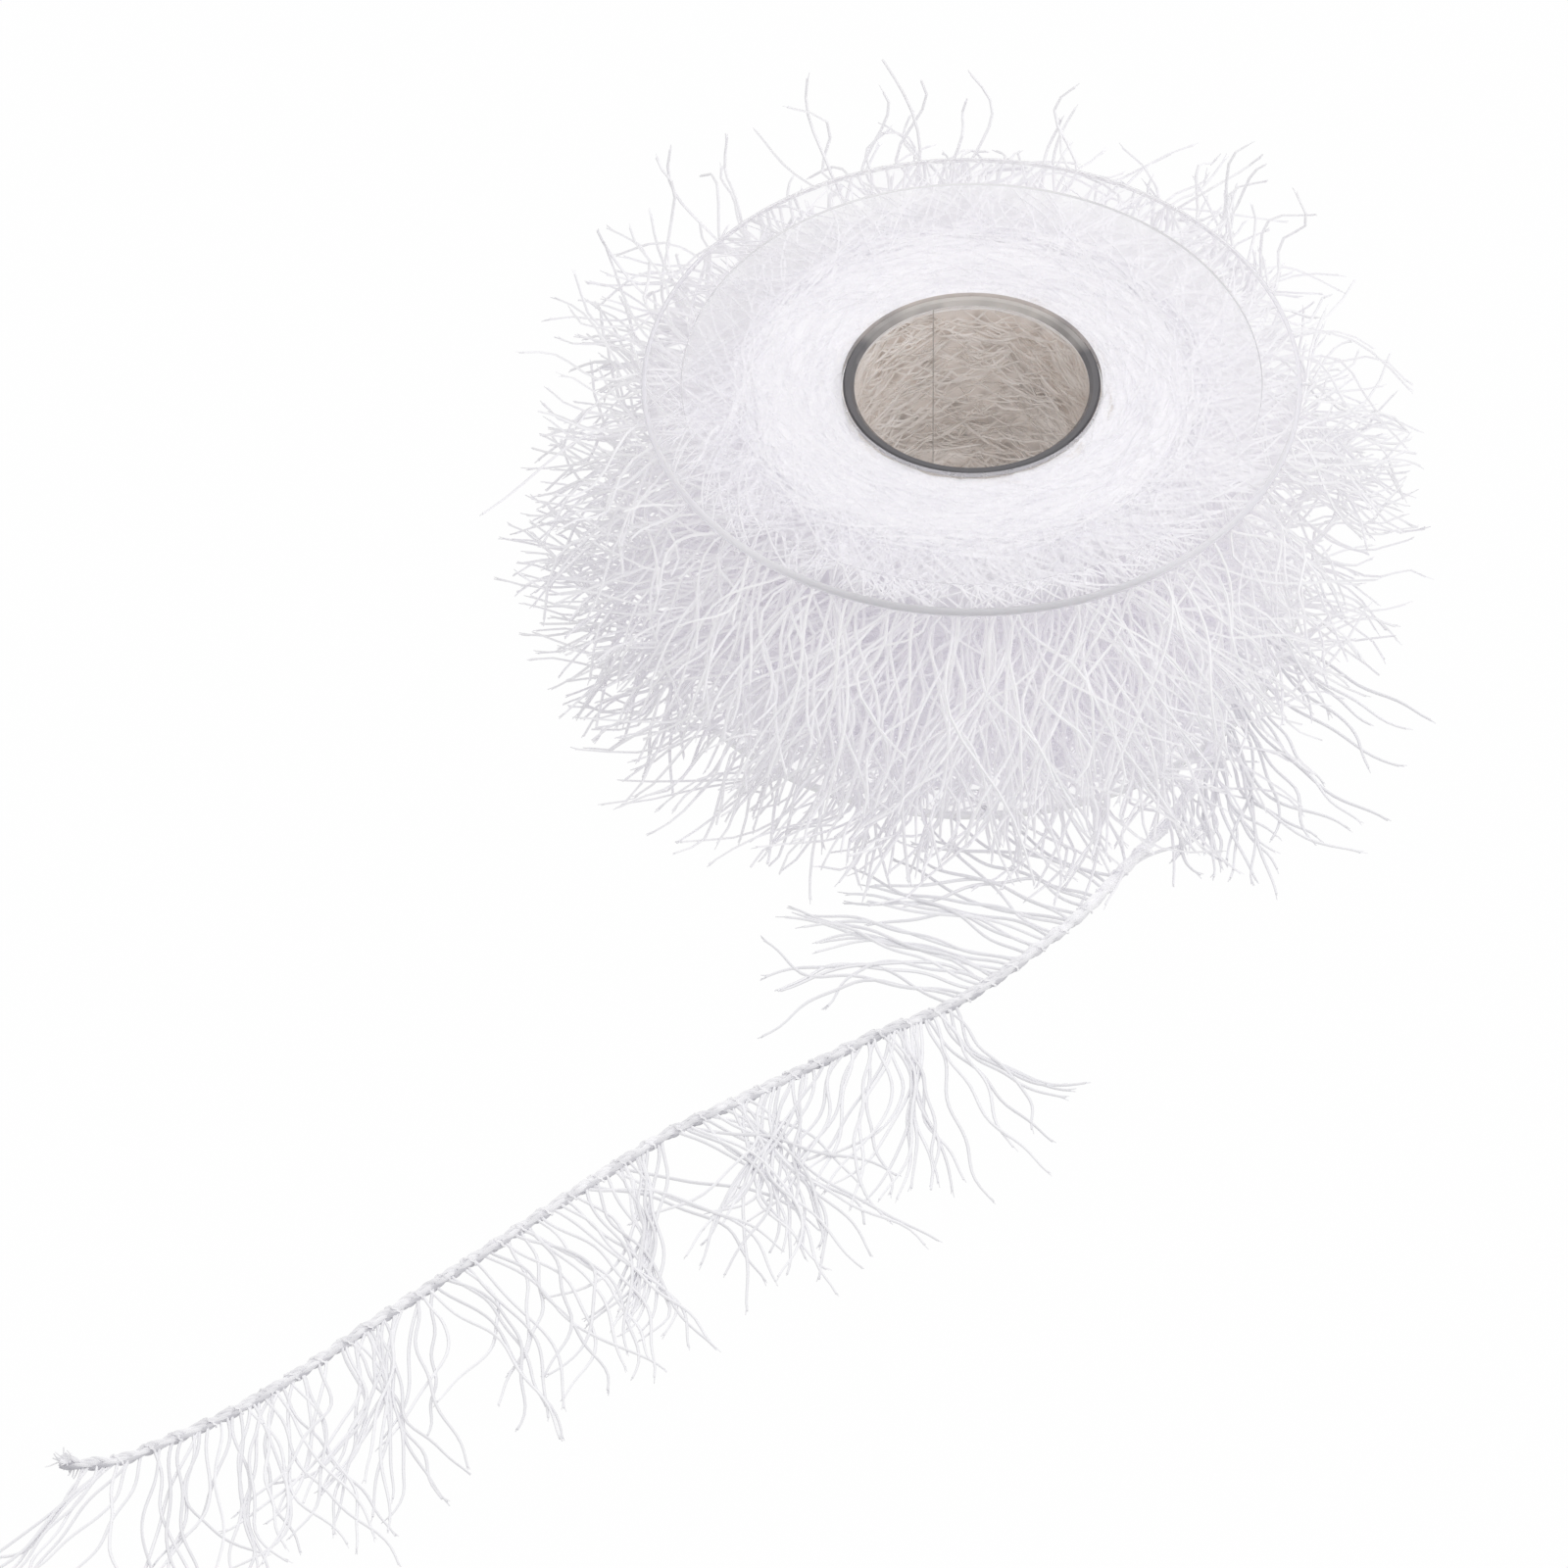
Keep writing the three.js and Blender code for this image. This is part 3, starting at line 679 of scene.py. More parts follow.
# Step line: tinted grey as painted shade, paler behind as painted reflection
disc_line = clear_plastic("clear_disc_line", LINE_PAINTED_SHADE, polish=0.08, clarity=0.5, bend=RIM_IOR)
paint_edge_reflection(disc_line, LINE_PAINTED_SHADE, EDGE_BACK_PAINTED_REFLECTION, RIM_EDGE)
disc_materials = [disc_face, disc_edge, disc_step, disc_web, disc_hole, disc_line]
FACE, EDGE, STEP, WEB, HOLE, LINE = range(len(disc_materials))
round_radius = DISC_THICKNESS / 2
round_angle = np.radians(np.linspace(-90, 90, ROUND_STEPS + 1))
DISC_PROFILE = np.array([
    [DISC_HOLE, 0],
    [COLLAR_EDGE, 0],
    [COLLAR_EDGE + COLLAR_SLOPE, WEB_RECESS],
    [RIM_EDGE - RIM_SLOPE, WEB_RECESS],
    [RIM_EDGE, 0],
    *np.stack([
        DISC_RADIUS - round_radius * (1 - np.cos(round_angle)),
        round_radius * (1 + np.sin(round_angle)),
    ], axis=1),
    [DISC_HOLE, DISC_THICKNESS],
])
DISC_FINISHES = [WEB, WEB, WEB, LINE, FACE] + [EDGE] * ROUND_STEPS + [FACE, HOLE]
for disc_name, disc_node, is_upper in (
    ("lower_disc", "bottom_flange", False), ("upper_disc", "top_flange", True),
):
    disc_profile = DISC_PROFILE.copy()
    disc_finishes = [STEP if finish in (EDGE, LINE) else FACE for finish in DISC_FINISHES]
    if is_upper:
        disc_profile[:, 1] = SPOOL_HEIGHT - disc_profile[:, 1]
        disc_profile = disc_profile[::-1]
        disc_finishes = DISC_FINISHES[-2::-1] + DISC_FINISHES[-1:]
    disc_piece = turned_object(disc_name, disc_profile, disc_finishes, disc_materials)
    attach(disc_piece, "root")
    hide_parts(disc_node)

# Hub tube: extruded clear plastic with a smoky cast, 39 mm outside, open right through.
# It holds the two discs apart, and one seam runs down the inside of its bore.
HUB_OUTSIDE = 19.5 * MM
HUB_BORE = 17.8 * MM
HUB_CHAMFER = 0.6 * MM
HUB_TINT = (0.995, 0.988, 0.982, 1)
# Painted shade: the tube's end is tinted dark in front and at the sides, and painted reflection makes it
# paler behind
HUB_END_PAINTED_SHADE = (0.13, 0.125, 0.135, 1)
HUB_END_BACK_PAINTED_REFLECTION = (0.66, 0.62, 0.59, 1)
HUB_SINK = 0.2 * MM
HUB_TOP = SPOOL_HEIGHT - HUB_SINK
SEAM_TINT = (0.55, 0.53, 0.51, 1)
SEAM_ANGLE = math.radians(109)
SEAM_WIDTH = 0.13 * MM
SEAM_DEPTH = 0.1 * MM

HUB_PROFILE = [
    [HUB_BORE + EDGE_BREAK, 0],
    [HUB_OUTSIDE - EDGE_BREAK, 0],
    [HUB_OUTSIDE, EDGE_BREAK],
    [HUB_OUTSIDE, HUB_TOP - EDGE_BREAK],
    [HUB_OUTSIDE - EDGE_BREAK, HUB_TOP],
    [HUB_BORE + HUB_CHAMFER, HUB_TOP],
    [HUB_BORE, HUB_TOP - HUB_CHAMFER],
    [HUB_BORE, EDGE_BREAK],
]
hub_wall = clear_plastic("smoky_hub_wall", HUB_TINT, polish=0.03, clarity=1, bend=PLASTIC_IOR)
# Dark end of the tube: painted shade in front, painted reflection behind
hub_end = clear_plastic("hub_end_painted_shade_and_reflection", HUB_END_PAINTED_SHADE, polish=0.08, clarity=0.25, bend=PLASTIC_IOR)
paint_edge_reflection(hub_end, HUB_END_PAINTED_SHADE, HUB_END_BACK_PAINTED_REFLECTION, HUB_OUTSIDE)
WALL, END = range(2)
HUB_FINISHES = [END, END, WALL, END, END, END, WALL, END]
hub_piece = turned_object("hub_tube_clear", HUB_PROFILE, HUB_FINISHES, [hub_wall, hub_end])
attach(hub_piece, "root")
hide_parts("hub_tube")

seam_way = np.array([math.cos(SEAM_ANGLE), math.sin(SEAM_ANGLE), 0])
seam_side = np.cross(UP, seam_way)
seam_corners = []
for seam_level in (EDGE_BREAK, HUB_TOP - HUB_CHAMFER):
    for out, aside in ((0, -1), (0, 1), (1, 1), (1, -1)):
        spot = seam_way * (HUB_BORE - SEAM_DEPTH * (1 - out)) + seam_side * SEAM_WIDTH / 2 * aside
        seam_corners.append(spot + UP * seam_level)
seam_mesh = bpy.data.meshes.new("hub_seam")
seam_mesh.from_pydata(
    [tuple(corner) for corner in seam_corners], [],
    [(0, 1, 2, 3), (7, 6, 5, 4), (0, 4, 5, 1), (1, 5, 6, 2), (2, 6, 7, 3), (3, 7, 4, 0)],
)
hub_seam = clear_plastic("smoky_hub_seam", SEAM_TINT, polish=0.3, clarity=0.2, bend=PLASTIC_IOR)
seam_mesh.materials.append(hub_seam)
seam_piece = bpy.data.objects.new("hub_seam", seam_mesh)
bpy.context.scene.collection.objects.link(seam_piece)
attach(seam_piece, "root")
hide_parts("hub_tube")

# Wound roll: about nine metres of the trim, turn on turn round the hub. Its body is packed
# yarn, and strands lie along the turns on its ends, round the hub and on its outside.
ROLL_LOW = 2.2 * MM
ROLL_HIGH = 41.95 * MM
ROLL_INSIDE = 21.2 * MM
ROLL_NECK = 19.75 * MM
NECK_DEPTH = 0.8 * MM
ROLL_OUTSIDE = 33.4 * MM
ROLL_BEVEL = 1 * MM
WOUND_RADIUS = 0.15 * MM
INNER_RADIUS = 0.19 * MM
WOUND_POINTS = 8
WOUND_TAPER = ((0, 0.1, 0.9, 1), (0.5, 1, 1, 0.5))
WOUND_LENGTHS_MM = (11, 25)
WOUND_WAVE_COUNT = (0.8, 2)
WOUND_TONES = (0, 0.8)
TOP_STRANDS = 3300
TOP_RADII = (19.8 * MM, 36 * MM)
TOP_LEVELS = (41.3 * MM, 42.2 * MM)
BOTTOM_STRANDS = 600
BOTTOM_RADII = (20.3 * MM, 36 * MM)
BOTTOM_LEVELS = (1.85 * MM, 2.7 * MM)
HUB_STRANDS = 950
HUB_RADII = (19.85 * MM, 20.9 * MM)
SIDE_STRANDS = 700
SIDE_RADII = (33.5 * MM, 35.5 * MM)
ROLL_LEVELS = (2 * MM, 42 * MM)
# Strands pressed flat against the discs, with fewer of them behind
PRESSED_STRANDS = 1300
PRESSED_LEVELS_MM = {"top": (41.4, 42.2), "bottom": (1.8, 2.6)}
PRESSED_ROOTS_MM = (29, 36)
PRESSED_TIPS_MM = (42, 50)
PRESSED_LEAN = 0.26
PRESSED_BOW = 0.06
PRESSED_KEPT = ((-0.3, 0.5), (1, 0.3))
PACKED_PALE = (0.99, 0.986, 0.995, 1)
PACKED_SHADE = (0.975, 0.97, 0.985, 1)
WOUND_PALE = (0.99, 0.986, 0.995, 1)
WOUND_SHADE = (0.94, 0.935, 0.955, 1)
# Inside of the body: painted shade, darker and warmer patches that show in the gaps between the strands
# round the hub
INNER_PALE = (0.98, 0.95, 0.93, 1)
INNER_PAINTED_SHADE = (0.58, 0.54, 0.51, 1)
INNER_STRAND_PALE = (0.998, 0.985, 0.976, 1)
INNER_STRAND_SHADE = (0.76, 0.72, 0.69, 1)
# Strands round the hub: painted shade makes them darker low down and towards the right, and painted light
# paler towards the left
INNER_TONE_SPREAD = 0.9
INNER_TONE_SHIFT = 0.15
INNER_LOW_PAINTED_SHADE = ((2 * MM, 40 * MM), (0.9, 0))
INNER_RIGHT_PAINTED_SHADE_LEFT_LIGHT = ((-15 * MM, 15 * MM), (-0.3, 0.25))


def polar(radius, angle, height):
    return np.stack([radius * np.cos(angle), radius * np.sin(angle), height + 0 * radius], axis=-1)


def wound_strands(random, count, radius, height, lean, drift, swell):
    """Strands that lie along the turns. lean tips them out of level, drift in or out,
    and swell is the size of their waves."""
    share = np.linspace(-0.5, 0.5, WOUND_POINTS)[None, :]
    length = random.uniform(*WOUND_LENGTHS_MM, (count, 1)) * MM
    middle = random.uniform(0, 2 * math.pi, (count, 1))
    around = random.choice([-1, 1], (count, 1))
    start_radius = random.uniform(*radius, (count, 1))
    start_height = random.uniform(*height, (count, 1))
    slope = random.normal(0, lean, (count, 1))
    swing = random.normal(0, drift, (count, 1))
    phase = random.uniform(0, 2 * math.pi, (count, 1))
    wave = swell * np.sin(phase + 2 * math.pi * share * random.uniform(*WOUND_WAVE_COUNT, (count, 1)))
    shortened = np.cos(np.arctan(np.hypot(slope, swing)))
    angle = middle + around * share * length / start_radius * shortened
    far = (start_radius + share * length * swing + wave * (drift > 0)).clip(radius[0])
    tall = (start_height + share * length * slope + wave * (lean > 0)).clip(height[0], height[1])
    return polar(far, angle, tall)


roll_random = np.random.default_rng(33)
packed_yarn = yarn_material("packed_white_yarn", PACKED_PALE, PACKED_SHADE, mottle=1.2)
ROLL_PROFILE = [
    [ROLL_NECK, ROLL_LOW],
    [ROLL_OUTSIDE - ROLL_BEVEL, ROLL_LOW],
    [ROLL_OUTSIDE, ROLL_LOW + ROLL_BEVEL],
    [ROLL_OUTSIDE, ROLL_HIGH - ROLL_BEVEL],
    [ROLL_OUTSIDE - ROLL_BEVEL, ROLL_HIGH],
    [ROLL_NECK, ROLL_HIGH],
    [ROLL_NECK, ROLL_HIGH - NECK_DEPTH],
    [ROLL_INSIDE, ROLL_HIGH - 2 * NECK_DEPTH],
    [ROLL_INSIDE, ROLL_LOW + 2 * NECK_DEPTH],
    [ROLL_NECK, ROLL_LOW + NECK_DEPTH],
]
# Painted shade on the body's inside, for the gaps between the strands round the hub
inner_turns_painted_shade = yarn_material("inner_turns_painted_shade", INNER_PALE, INNER_PAINTED_SHADE, mottle=2.5)
OUTER, INNER = range(2)
ROLL_FINISHES = [OUTER] * 5 + [INNER] * 5
body_piece = turned_object("roll_body", ROLL_PROFILE, ROLL_FINISHES, [packed_yarn, inner_turns_painted_shade])
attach(body_piece, "root")
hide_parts("wound_roll")

wound_yarn = yarn_material("white_wound_yarn", WOUND_PALE, WOUND_SHADE, mottle=0.5)
wound_taper = np.interp(np.linspace(0, 1, WOUND_POINTS), *WOUND_TAPER)[None, :]
pressed_share = np.linspace(0, 1, WOUND_POINTS)[None, :]
pressed_size = (PRESSED_STRANDS, 1)
pressed_lines = {}
for side, levels in PRESSED_LEVELS_MM.items():
    spot = roll_random.uniform(0, 2 * math.pi, pressed_size)
    lean = roll_random.normal(0, PRESSED_LEAN, pressed_size)
    root_radius = roll_random.uniform(*PRESSED_ROOTS_MM, pressed_size) * MM
    tip_radius = roll_random.uniform(*PRESSED_TIPS_MM, pressed_size) * MM
    bow = roll_random.normal(0, PRESSED_BOW, pressed_size)
    far = root_radius + (tip_radius - root_radius) * pressed_share
    angle = spot + lean * pressed_share + bow * np.sin(math.pi * pressed_share)
    tall = roll_random.uniform(*levels, pressed_size) * MM
    kept = roll_random.uniform(0, 1, PRESSED_STRANDS) < np.interp(np.sin(spot[:, 0]), *PRESSED_KEPT)
    pressed_lines[side] = polar(far, angle, tall)[kept]
top_lines = wound_strands(
    roll_random, TOP_STRANDS, TOP_RADII, TOP_LEVELS, lean=0, drift=0.22, swell=0.35 * MM,
)
bottom_lines = wound_strands(
    roll_random, BOTTOM_STRANDS, BOTTOM_RADII, BOTTOM_LEVELS, lean=0, drift=0.35, swell=0.35 * MM,
)
hub_lines = wound_strands(
    roll_random, HUB_STRANDS, HUB_RADII, ROLL_LEVELS, lean=0.36, drift=0.02, swell=0.9 * MM,
)
side_lines = wound_strands(
    roll_random, SIDE_STRANDS, SIDE_RADII, ROLL_LEVELS, lean=0.2, drift=0.04, swell=0.35 * MM,
)
inner_yarn = yarn_material("white_inner_yarn", INNER_STRAND_PALE, INNER_STRAND_SHADE, mottle=0.9)
for wound_name, wound_lines, wound_radius, wound_finish in (
    ("roll_top_strands", top_lines, WOUND_RADIUS, wound_yarn),
    ("roll_top_pressed_strands", pressed_lines["top"], WOUND_RADIUS, wound_yarn),
    ("roll_bottom_strands", bottom_lines, WOUND_RADIUS, wound_yarn),
    ("roll_bottom_pressed_strands", pressed_lines["bottom"], WOUND_RADIUS, wound_yarn),
    ("roll_hub_strands", hub_lines, INNER_RADIUS, inner_yarn),
    ("roll_side_strands", side_lines, WOUND_RADIUS, wound_yarn),
):
    wound_tones_and_shade = roll_random.uniform(*WOUND_TONES, len(wound_lines))
    if wound_finish is inner_yarn:
        # Painted shade low down and on the right, painted light on the left
        middles = wound_lines[:, WOUND_POINTS // 2]
        low_painted_shade = np.interp(middles[:, 2], *INNER_LOW_PAINTED_SHADE)
        right_painted_shade_left_light = np.interp(middles[:, 0], *INNER_RIGHT_PAINTED_SHADE_LEFT_LIGHT)
        wound_tones_and_shade = INNER_TONE_SPREAD * wound_tones_and_shade - INNER_TONE_SHIFT + (low_painted_shade + right_painted_shade_left_light)
    wound_bundle = (wound_lines, wound_radius * wound_taper, wound_tones_and_shade, FINE_SIDES)
    wound_piece = yarn_object(wound_name, [wound_bundle], wound_finish)
    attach(wound_piece, "root")
    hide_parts("wound_roll")

# Fringe of the outer turns: strands about 40 mm long that stand out between the discs in
# loose locks. They droop to the surface in front, and some rise past the upper disc behind.
SECTORS = 6
LONG_LOCKS = 220
LONG_STRANDS = 5
LONG_REACH = (63, 70.5)
SHORT_LOCKS = 120
SHORT_STRANDS = 5
SHORT_REACH = (52, 63)
FRINGE_POINTS = 14
FRINGE_SIDES = 4
FRINGE_RADIUS = 0.24 * MM
FRINGE_TAPER = ((0, 0.8, 1), (1, 1, 0.8))
FRINGE_PALE = (0.996, 0.991, 0.998, 1)
FRINGE_SHADE = (0.89, 0.88, 0.91, 1)
FRINGE_TONES = (0, 0.25)
# Painted shade: strands are a little greyer towards their tips, in metres from the axis
FRINGE_TIP_PAINTED_SHADE = ((0.046, 0.064), (0, 0.6))
GOLDEN_SHARE = (math.sqrt(5) - 1) / 2
# Roots, bends and tips of the strands, in millimetres. The droop is the share of its root's
# height that a tip keeps, from front to back.
LOW_ROOT, HIGH_ROOT = 3.2, 41.2
ROOT_RADII = (32.6, 34.6)
ROOT_CIRCLE, TIP_CIRCLE = 35, 64
ROOT_HEIGHT_SPREAD = 0.8
BEND_PLACE = (0.46, 0.62)
BEND_FALL = (-0.05, 0.3)
BEND_SWAY = 0.03
TIP_DROP = 1.5
TIP_LOWEST = 0.5
DROOP = ((-1, -0.2, 0.2, 1), (0.34, 0.9, 0.9, 0.8))
# Lean and bow of the locks in radians, and how far their tips rise and spread in millimetres
LOCK_LEAN = 0.24
LOCK_BOW = 0.13
LOCK_RISE = 4
STRAND_REACH = 1.4
STRAND_LEAN = 0.15
# Share of the locks from front to back, and the share of the low ones left out in front
FRONT_SHARE = ((-0.8, -0.2), (1, 0))
LOCKS_KEPT = ((-0.5, 0.1, 0.6, 0.9), (1, 0.75, 0.75, 0.5))
LOW_LOCKS = 14
LOW_LOCKS_LOST = 0.5
# Locks from higher up reach less far, most of all in front
REACH_LOSS = 0.06
REACH_LOSS_FRONT = 0.17
# How much longer or shorter the locks reach in each direction, in radians and millimetres
REACH_CHANGE = (
    np.radians([0, 200, 225, 255, 275, 298, 310, 320, 342, 352, 360]),
    [0, 0, 3, 5, 3.5, 5, 2, -10, -10, 0, 0],
)
# How far the locks of each direction sweep to the left, in radians
LEAN_CHANGE = (np.radians([185, 220, 255, 335]), [0, -0.2, -0.2, 0])
STRAY_STRANDS = 320
STRAY_REACH = (62, 5)
STRAY_LEAN = 0.45
STRAY_BOW = 0.12
STRAY_RISE = 4
# Strands that rise past the upper disc behind: direction in degrees, and radius and height
# of the tip in millimetres. Each has a fellow that ends lower.
RISER_TIPS = [
    (155, 62, 51), (138, 62, 54), (128, 62, 48), (113, 61, 55), (106, 61, 47), (103, 60, 56), (98, 61, 44),
    (90, 60, 52), (77, 61, 43), (74, 61, 50), (54, 61, 46), (46, 61, 51), (42, 61, 49), (35, 61, 49),
]
RISER_FELLOWS = 2
RISER_FELLOW_DROP = (0, 7)
RISER_ROOT_LEVELS = (30, 38)
RISER_ROOT_RADII = (33, 35)
RISER_BEND_RADII = (57, 61)
RISER_ROOT_SWAY, RISER_BEND_SWAY, RISER_TIP_SWAY = 0.14, 0.08, 0.03
# Slow waves of each strand, in millimetres, that grow over the first part of its length
WAVE_SIZE = 1.9
WAVE_SIZE_SHARES = (0.3, 1.6)
WAVE_COUNT = (0.6, 2.2)
WAVE_ROOT = 0.35
OFF_UPRIGHT = 0.01
# Room between the discs and above the surface, in millimetres
UNDER_DISC = 42.1
OVER_DISC = 1.9
DISC_REACH = 50.8
DISC_SLACK = 0.9
FRINGE_LOWEST = 0.28
LOWEST_SLACK = 0.5


def quadratic(start, bend, end):
    share = np.linspace(0, 1, FRINGE_POINTS)[None, :, None]
    return (
        start[:, None] * (1 - share) ** 2
        + bend[:, None] * 2 * share * (1 - share)
        + end[:, None] * share ** 2
    )


def fringe_paths(random, turn, height, reach, lean, bow, rise, root_spread, tip_spread):
    """Strand paths in millimetres: quadratic curves from the roll's side, out past the discs."""
    count = len(turn)
    keep = np.interp(np.sin(turn), *DROOP)
    root_turn = turn + random.normal(0, root_spread, count) / ROOT_CIRCLE
    root_height = height + random.normal(0, root_spread * ROOT_HEIGHT_SPREAD, count)
    root_height = root_height.clip(LOW_ROOT, HIGH_ROOT)
    root_radius = random.uniform(*ROOT_RADII, count)
    tip_turn = turn + lean + random.normal(0, tip_spread, count) / TIP_CIRCLE
    tip_height = keep * height - TIP_DROP + rise + random.normal(0, tip_spread, count)
    tip_height = tip_height.clip(TIP_LOWEST)
    bend_radius = root_radius + (reach - root_radius) * random.uniform(*BEND_PLACE, count)
    bend_height = root_height - (root_height - tip_height) * random.uniform(*BEND_FALL, count)
    bend_turn = (root_turn + tip_turn) / 2 + bow + random.normal(0, BEND_SWAY, count)
    return quadratic(
        polar(root_radius, root_turn, root_height),
        polar(bend_radius, bend_turn, bend_height),
        polar(reach, tip_turn, tip_height),
    )


def lock_paths(random, locks, strands, reach):
    """Locks of nearly parallel strands, evenly round the roll, each with its own lean and bow."""
    number = np.arange(locks)
    turn = 2 * math.pi * (number + random.uniform(0, 1, locks)) / locks
    height = LOW_ROOT + (HIGH_ROOT - LOW_ROOT) * ((number * GOLDEN_SHARE) % 1)
    front = np.interp(np.sin(turn), *FRONT_SHARE)
    far = random.uniform(*reach, locks) - (REACH_LOSS + REACH_LOSS_FRONT * front) * height
    far = far + np.interp(turn, *REACH_CHANGE)
    lean = random.normal(0, LOCK_LEAN, locks) + np.interp(turn, *LEAN_CHANGE)
    bow = random.normal(0, LOCK_BOW, locks)
    rise = random.normal(0, LOCK_RISE, locks)
    chance = np.interp(np.sin(turn), *LOCKS_KEPT)
    chance = chance * np.where(height < LOW_LOCKS, 1 - LOW_LOCKS_LOST * front, 1)
    kept = random.uniform(0, 1, locks) < chance
    own = np.repeat(number[kept], strands)
    strand_far = far[own] + random.normal(0, STRAND_REACH, len(own))
    strand_lean = lean[own] + random.normal(0, STRAND_LEAN, len(own))
    return fringe_paths(
        random, turn[own], height[own], strand_far, strand_lean, bow[own], rise[own],
        root_spread=3, tip_spread=2.6,
    )


def wavy(lines, random):
    """Adds each strand's own slow waves, growing from its root."""
    count, points = lines.shape[:2]
    share = np.linspace(0, 1, points)[None, :]
    way = unit(lines[:, -1] - lines[:, 0])
    aside = unit(np.cross(way, UP + OFF_UPRIGHT))
    over = np.cross(way, aside)
    moved = lines.copy()
    for side in (aside, over):
        phase = random.uniform(0, 2 * math.pi, (count, 1))
        waves = random.uniform(*WAVE_COUNT, (count, 1))
        size = WAVE_SIZE * random.uniform(*WAVE_SIZE_SHARES, (count, 1))
        swing = size * np.sin(phase + 2 * math.pi * waves * share)
        moved += side[:, None] * (swing * share.clip(0, WAVE_ROOT) / WAVE_ROOT)[..., None]
    return moved


def between_discs(lines, random):
    """Keeps strands under the upper disc, over the lower one and above the surface."""
    far = np.hypot(lines[..., 0], lines[..., 1])
    slack = random.uniform(0, DISC_SLACK, (len(lines), 1))
    height = lines[..., 2]
    inside = far < DISC_REACH
    height = np.where(inside, height.clip(OVER_DISC + slack, UNDER_DISC - slack), height)
    lines[..., 2] = height.clip(FRINGE_LOWEST + LOWEST_SLACK * slack)
    return lines


fringe_random = np.random.default_rng(58)
long_lines = lock_paths(fringe_random, LONG_LOCKS, LONG_STRANDS, LONG_REACH)
short_lines = lock_paths(fringe_random, SHORT_LOCKS, SHORT_STRANDS, SHORT_REACH)
stray_lines = fringe_paths(
    fringe_random,
    turn=fringe_random.uniform(0, 2 * math.pi, STRAY_STRANDS),
    height=fringe_random.uniform(LOW_ROOT, HIGH_ROOT, STRAY_STRANDS),
    reach=fringe_random.normal(*STRAY_REACH, STRAY_STRANDS),
    lean=fringe_random.normal(0, STRAY_LEAN, STRAY_STRANDS),
    bow=fringe_random.normal(0, STRAY_BOW, STRAY_STRANDS),
    rise=fringe_random.normal(0, STRAY_RISE, STRAY_STRANDS),
    root_spread=1,
    tip_spread=2,
)
riser_tips = np.repeat(np.array(RISER_TIPS, float), RISER_FELLOWS, axis=0)
riser_count = len(riser_tips)
riser_turn = np.radians(riser_tips[:, 0])
riser_level = fringe_random.uniform(*RISER_ROOT_LEVELS, riser_count)
riser_drop = fringe_random.uniform(0, 1, riser_count) * np.tile(RISER_FELLOW_DROP, len(RISER_TIPS))
riser_root = polar(
    fringe_random.uniform(*RISER_ROOT_RADII, riser_count),
    riser_turn + fringe_random.normal(0, RISER_ROOT_SWAY, riser_count),
    riser_level,
)
riser_bend = polar(
    fringe_random.uniform(*RISER_BEND_RADII, riser_count),
    riser_turn + fringe_random.normal(0, RISER_BEND_SWAY, riser_count),
    riser_level,
)
riser_tip = polar(
    riser_tips[:, 1],
    riser_turn + fringe_random.normal(0, RISER_TIP_SWAY, riser_count),
    riser_tips[:, 2] - riser_drop,
)
riser_lines = quadratic(riser_root, riser_bend, riser_tip)
fringe_lines = np.concatenate([long_lines, short_lines, stray_lines, riser_lines])
fringe_lines = between_discs(wavy(fringe_lines, fringe_random), fringe_random) * MM

fringe_far = np.hypot(fringe_lines[..., 0], fringe_lines[..., 1])
fringe_tones_and_tip_shade = fringe_random.uniform(*FRINGE_TONES, (len(fringe_lines), 1))
# Painted shade towards the tips
fringe_tones_and_tip_shade = fringe_tones_and_tip_shade + np.interp(fringe_far, *FRINGE_TIP_PAINTED_SHADE)
fringe_turn = np.arctan2(fringe_lines[:, 0, 1], fringe_lines[:, 0, 0]) % (2 * math.pi)
fringe_sector = (fringe_turn / (2 * math.pi / SECTORS)).astype(int)
fringe_taper = np.interp(np.linspace(0, 1, FRINGE_POINTS), *FRINGE_TAPER)[None, :]
fringe_yarn = yarn_material("white_roll_fringe", FRINGE_PALE, FRINGE_SHADE, mottle=0.2)
for sector in range(SECTORS):
    chosen = fringe_lines[fringe_sector == sector]
    chosen_tones_and_tip_shade = fringe_tones_and_tip_shade[fringe_sector == sector]
    fringe_tips = frayed_tips(chosen, chosen_tones_and_tip_shade[:, -1], fringe_random)
    fringe_strands = (chosen, FRINGE_RADIUS * fringe_taper, chosen_tones_and_tip_shade, FRINGE_SIDES)
    fringe_name = f"roll_fringe_strands_{sector + 1}"
    fringe_piece = yarn_object(fringe_name, [fringe_strands, fringe_tips], fringe_yarn)
    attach(fringe_piece, "root")
    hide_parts(f"roll_fringe_{sector + 1}")

# Stage: a pale surface lit from below like a light table, so that shadows stay faint, under
# a white dome that is brightest overhead, a little to the right, as under a large soft box.
FLOOR_SIZE = 30
FLOOR_DROP = 0.1 * MM
FLOOR_GLOW = 0.69
FLOOR_SEEN_GLOW = 0.995
DOME_STRENGTH = 0.70
DOME_PEAK = 1.26
DOME_PEAK_WAY = unit(np.array([0.38, -0.05, 1]))
DOME_FADE_FROM = 0.2
DOME_FADE_TO = 0.95

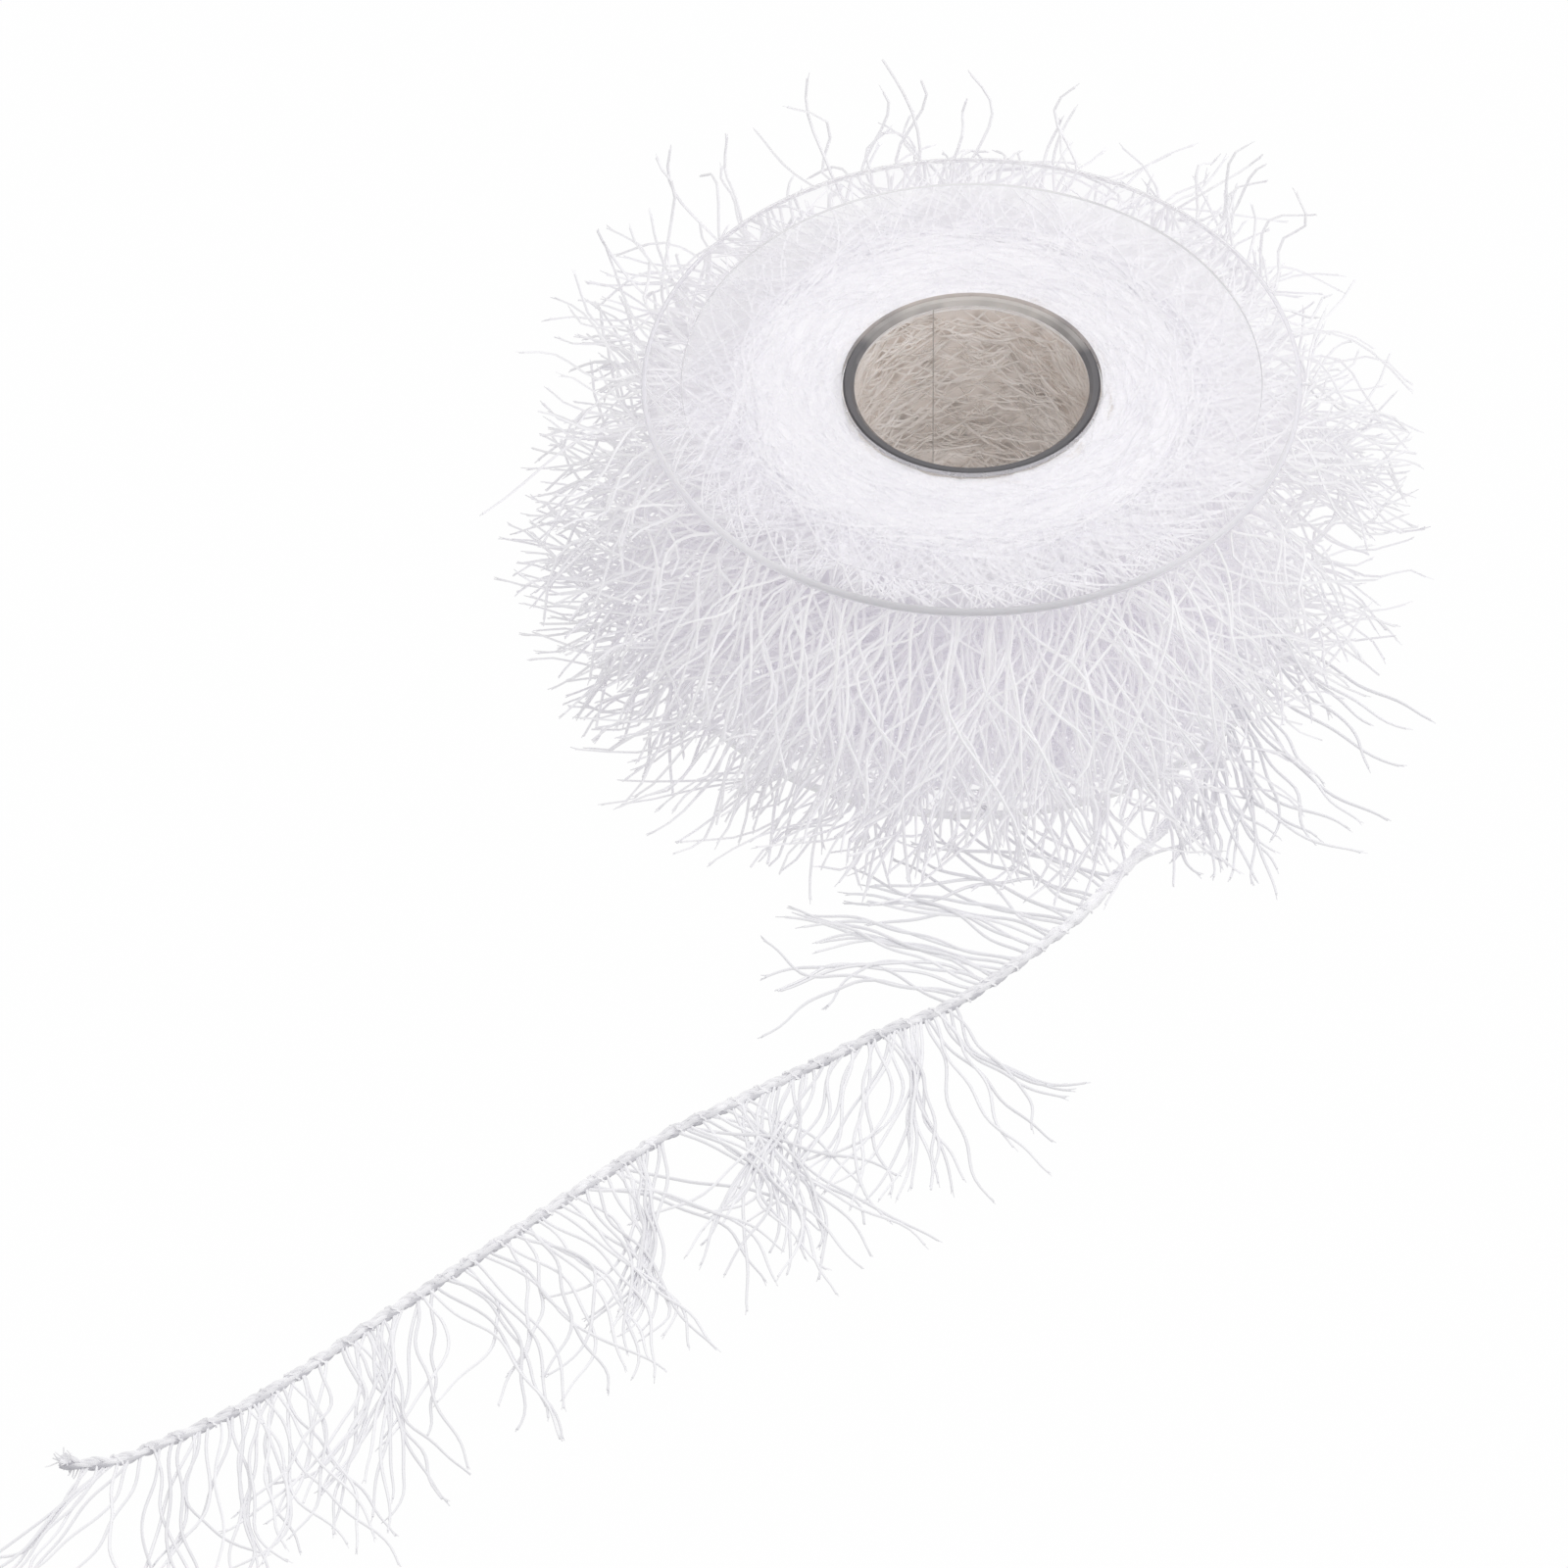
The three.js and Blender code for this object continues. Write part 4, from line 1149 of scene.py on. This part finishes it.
floor_mesh = bpy.data.meshes.new("pale_surface")
half = FLOOR_SIZE / 2
floor_corners = [(-half, -half), (half, -half), (half, half), (-half, half)]
floor_mesh.from_pydata([(x, y, -FLOOR_DROP) for x, y in floor_corners], [], [(0, 1, 2, 3)])
floor_finish = bpy.data.materials.new("pale_surface")
floor_finish.use_nodes = True
floor_finish.cycles.emission_sampling = "NONE"
floor_nodes, floor_links = floor_finish.node_tree.nodes, floor_finish.node_tree.links
floor_surface = floor_nodes["Principled BSDF"]
floor_surface.inputs["Base Color"].default_value = (0, 0, 0, 1)
floor_surface.inputs["Specular IOR Level"].default_value = 0
floor_surface.inputs["Emission Color"].default_value = (1, 1, 1, 1)
floor_ray = floor_nodes.new("ShaderNodeLightPath")
floor_seen = floor_nodes.new("ShaderNodeMath")
floor_seen.operation = "MAXIMUM"
floor_glow = floor_nodes.new("ShaderNodeMapRange")
floor_glow.inputs["To Min"].default_value = FLOOR_GLOW
floor_glow.inputs["To Max"].default_value = FLOOR_SEEN_GLOW
floor_links.new(floor_ray.outputs["Is Camera Ray"], floor_seen.inputs[0])
floor_links.new(floor_ray.outputs["Is Transmission Ray"], floor_seen.inputs[1])
floor_links.new(floor_seen.outputs[0], floor_glow.inputs["Value"])
floor_links.new(floor_glow.outputs["Result"], floor_surface.inputs["Emission Strength"])
floor_mesh.materials.append(floor_finish)
floor = bpy.data.objects.new("pale_surface", floor_mesh)
bpy.context.scene.collection.objects.link(floor)

dome = bpy.data.worlds.new("white_dome")
dome.use_nodes = True
dome.cycles.sampling_method = "NONE"
dome_nodes, dome_links = dome.node_tree.nodes, dome.node_tree.links
dome_way = dome_nodes.new("ShaderNodeTexCoord")
dome_near = dome_nodes.new("ShaderNodeVectorMath")
dome_near.operation = "DOT_PRODUCT"
dome_near.inputs[1].default_value = DOME_PEAK_WAY
dome_fade = dome_nodes.new("ShaderNodeMapRange")
dome_fade.interpolation_type = "SMOOTHSTEP"
dome_fade.inputs["From Min"].default_value = DOME_FADE_FROM
dome_fade.inputs["From Max"].default_value = DOME_FADE_TO
dome_fade.inputs["To Min"].default_value = DOME_STRENGTH
dome_fade.inputs["To Max"].default_value = DOME_PEAK
dome_links.new(dome_way.outputs["Generated"], dome_near.inputs[0])
dome_links.new(dome_near.outputs["Value"], dome_fade.inputs["Value"])
dome_links.new(dome_fade.outputs["Result"], dome_nodes["Background"].inputs["Strength"])
dome_nodes["Background"].inputs["Color"].default_value = (1, 1, 1, 1)
bpy.context.scene.world = dome

bpy.context.scene.view_settings.view_transform = "Standard"
bpy.context.scene.cycles.blur_glossy = 0
bpy.context.scene.cycles.max_bounces = 56
bpy.context.scene.cycles.diffuse_bounces = 26
bpy.context.scene.cycles.glossy_bounces = 32
bpy.context.scene.cycles.transmission_bounces = 36
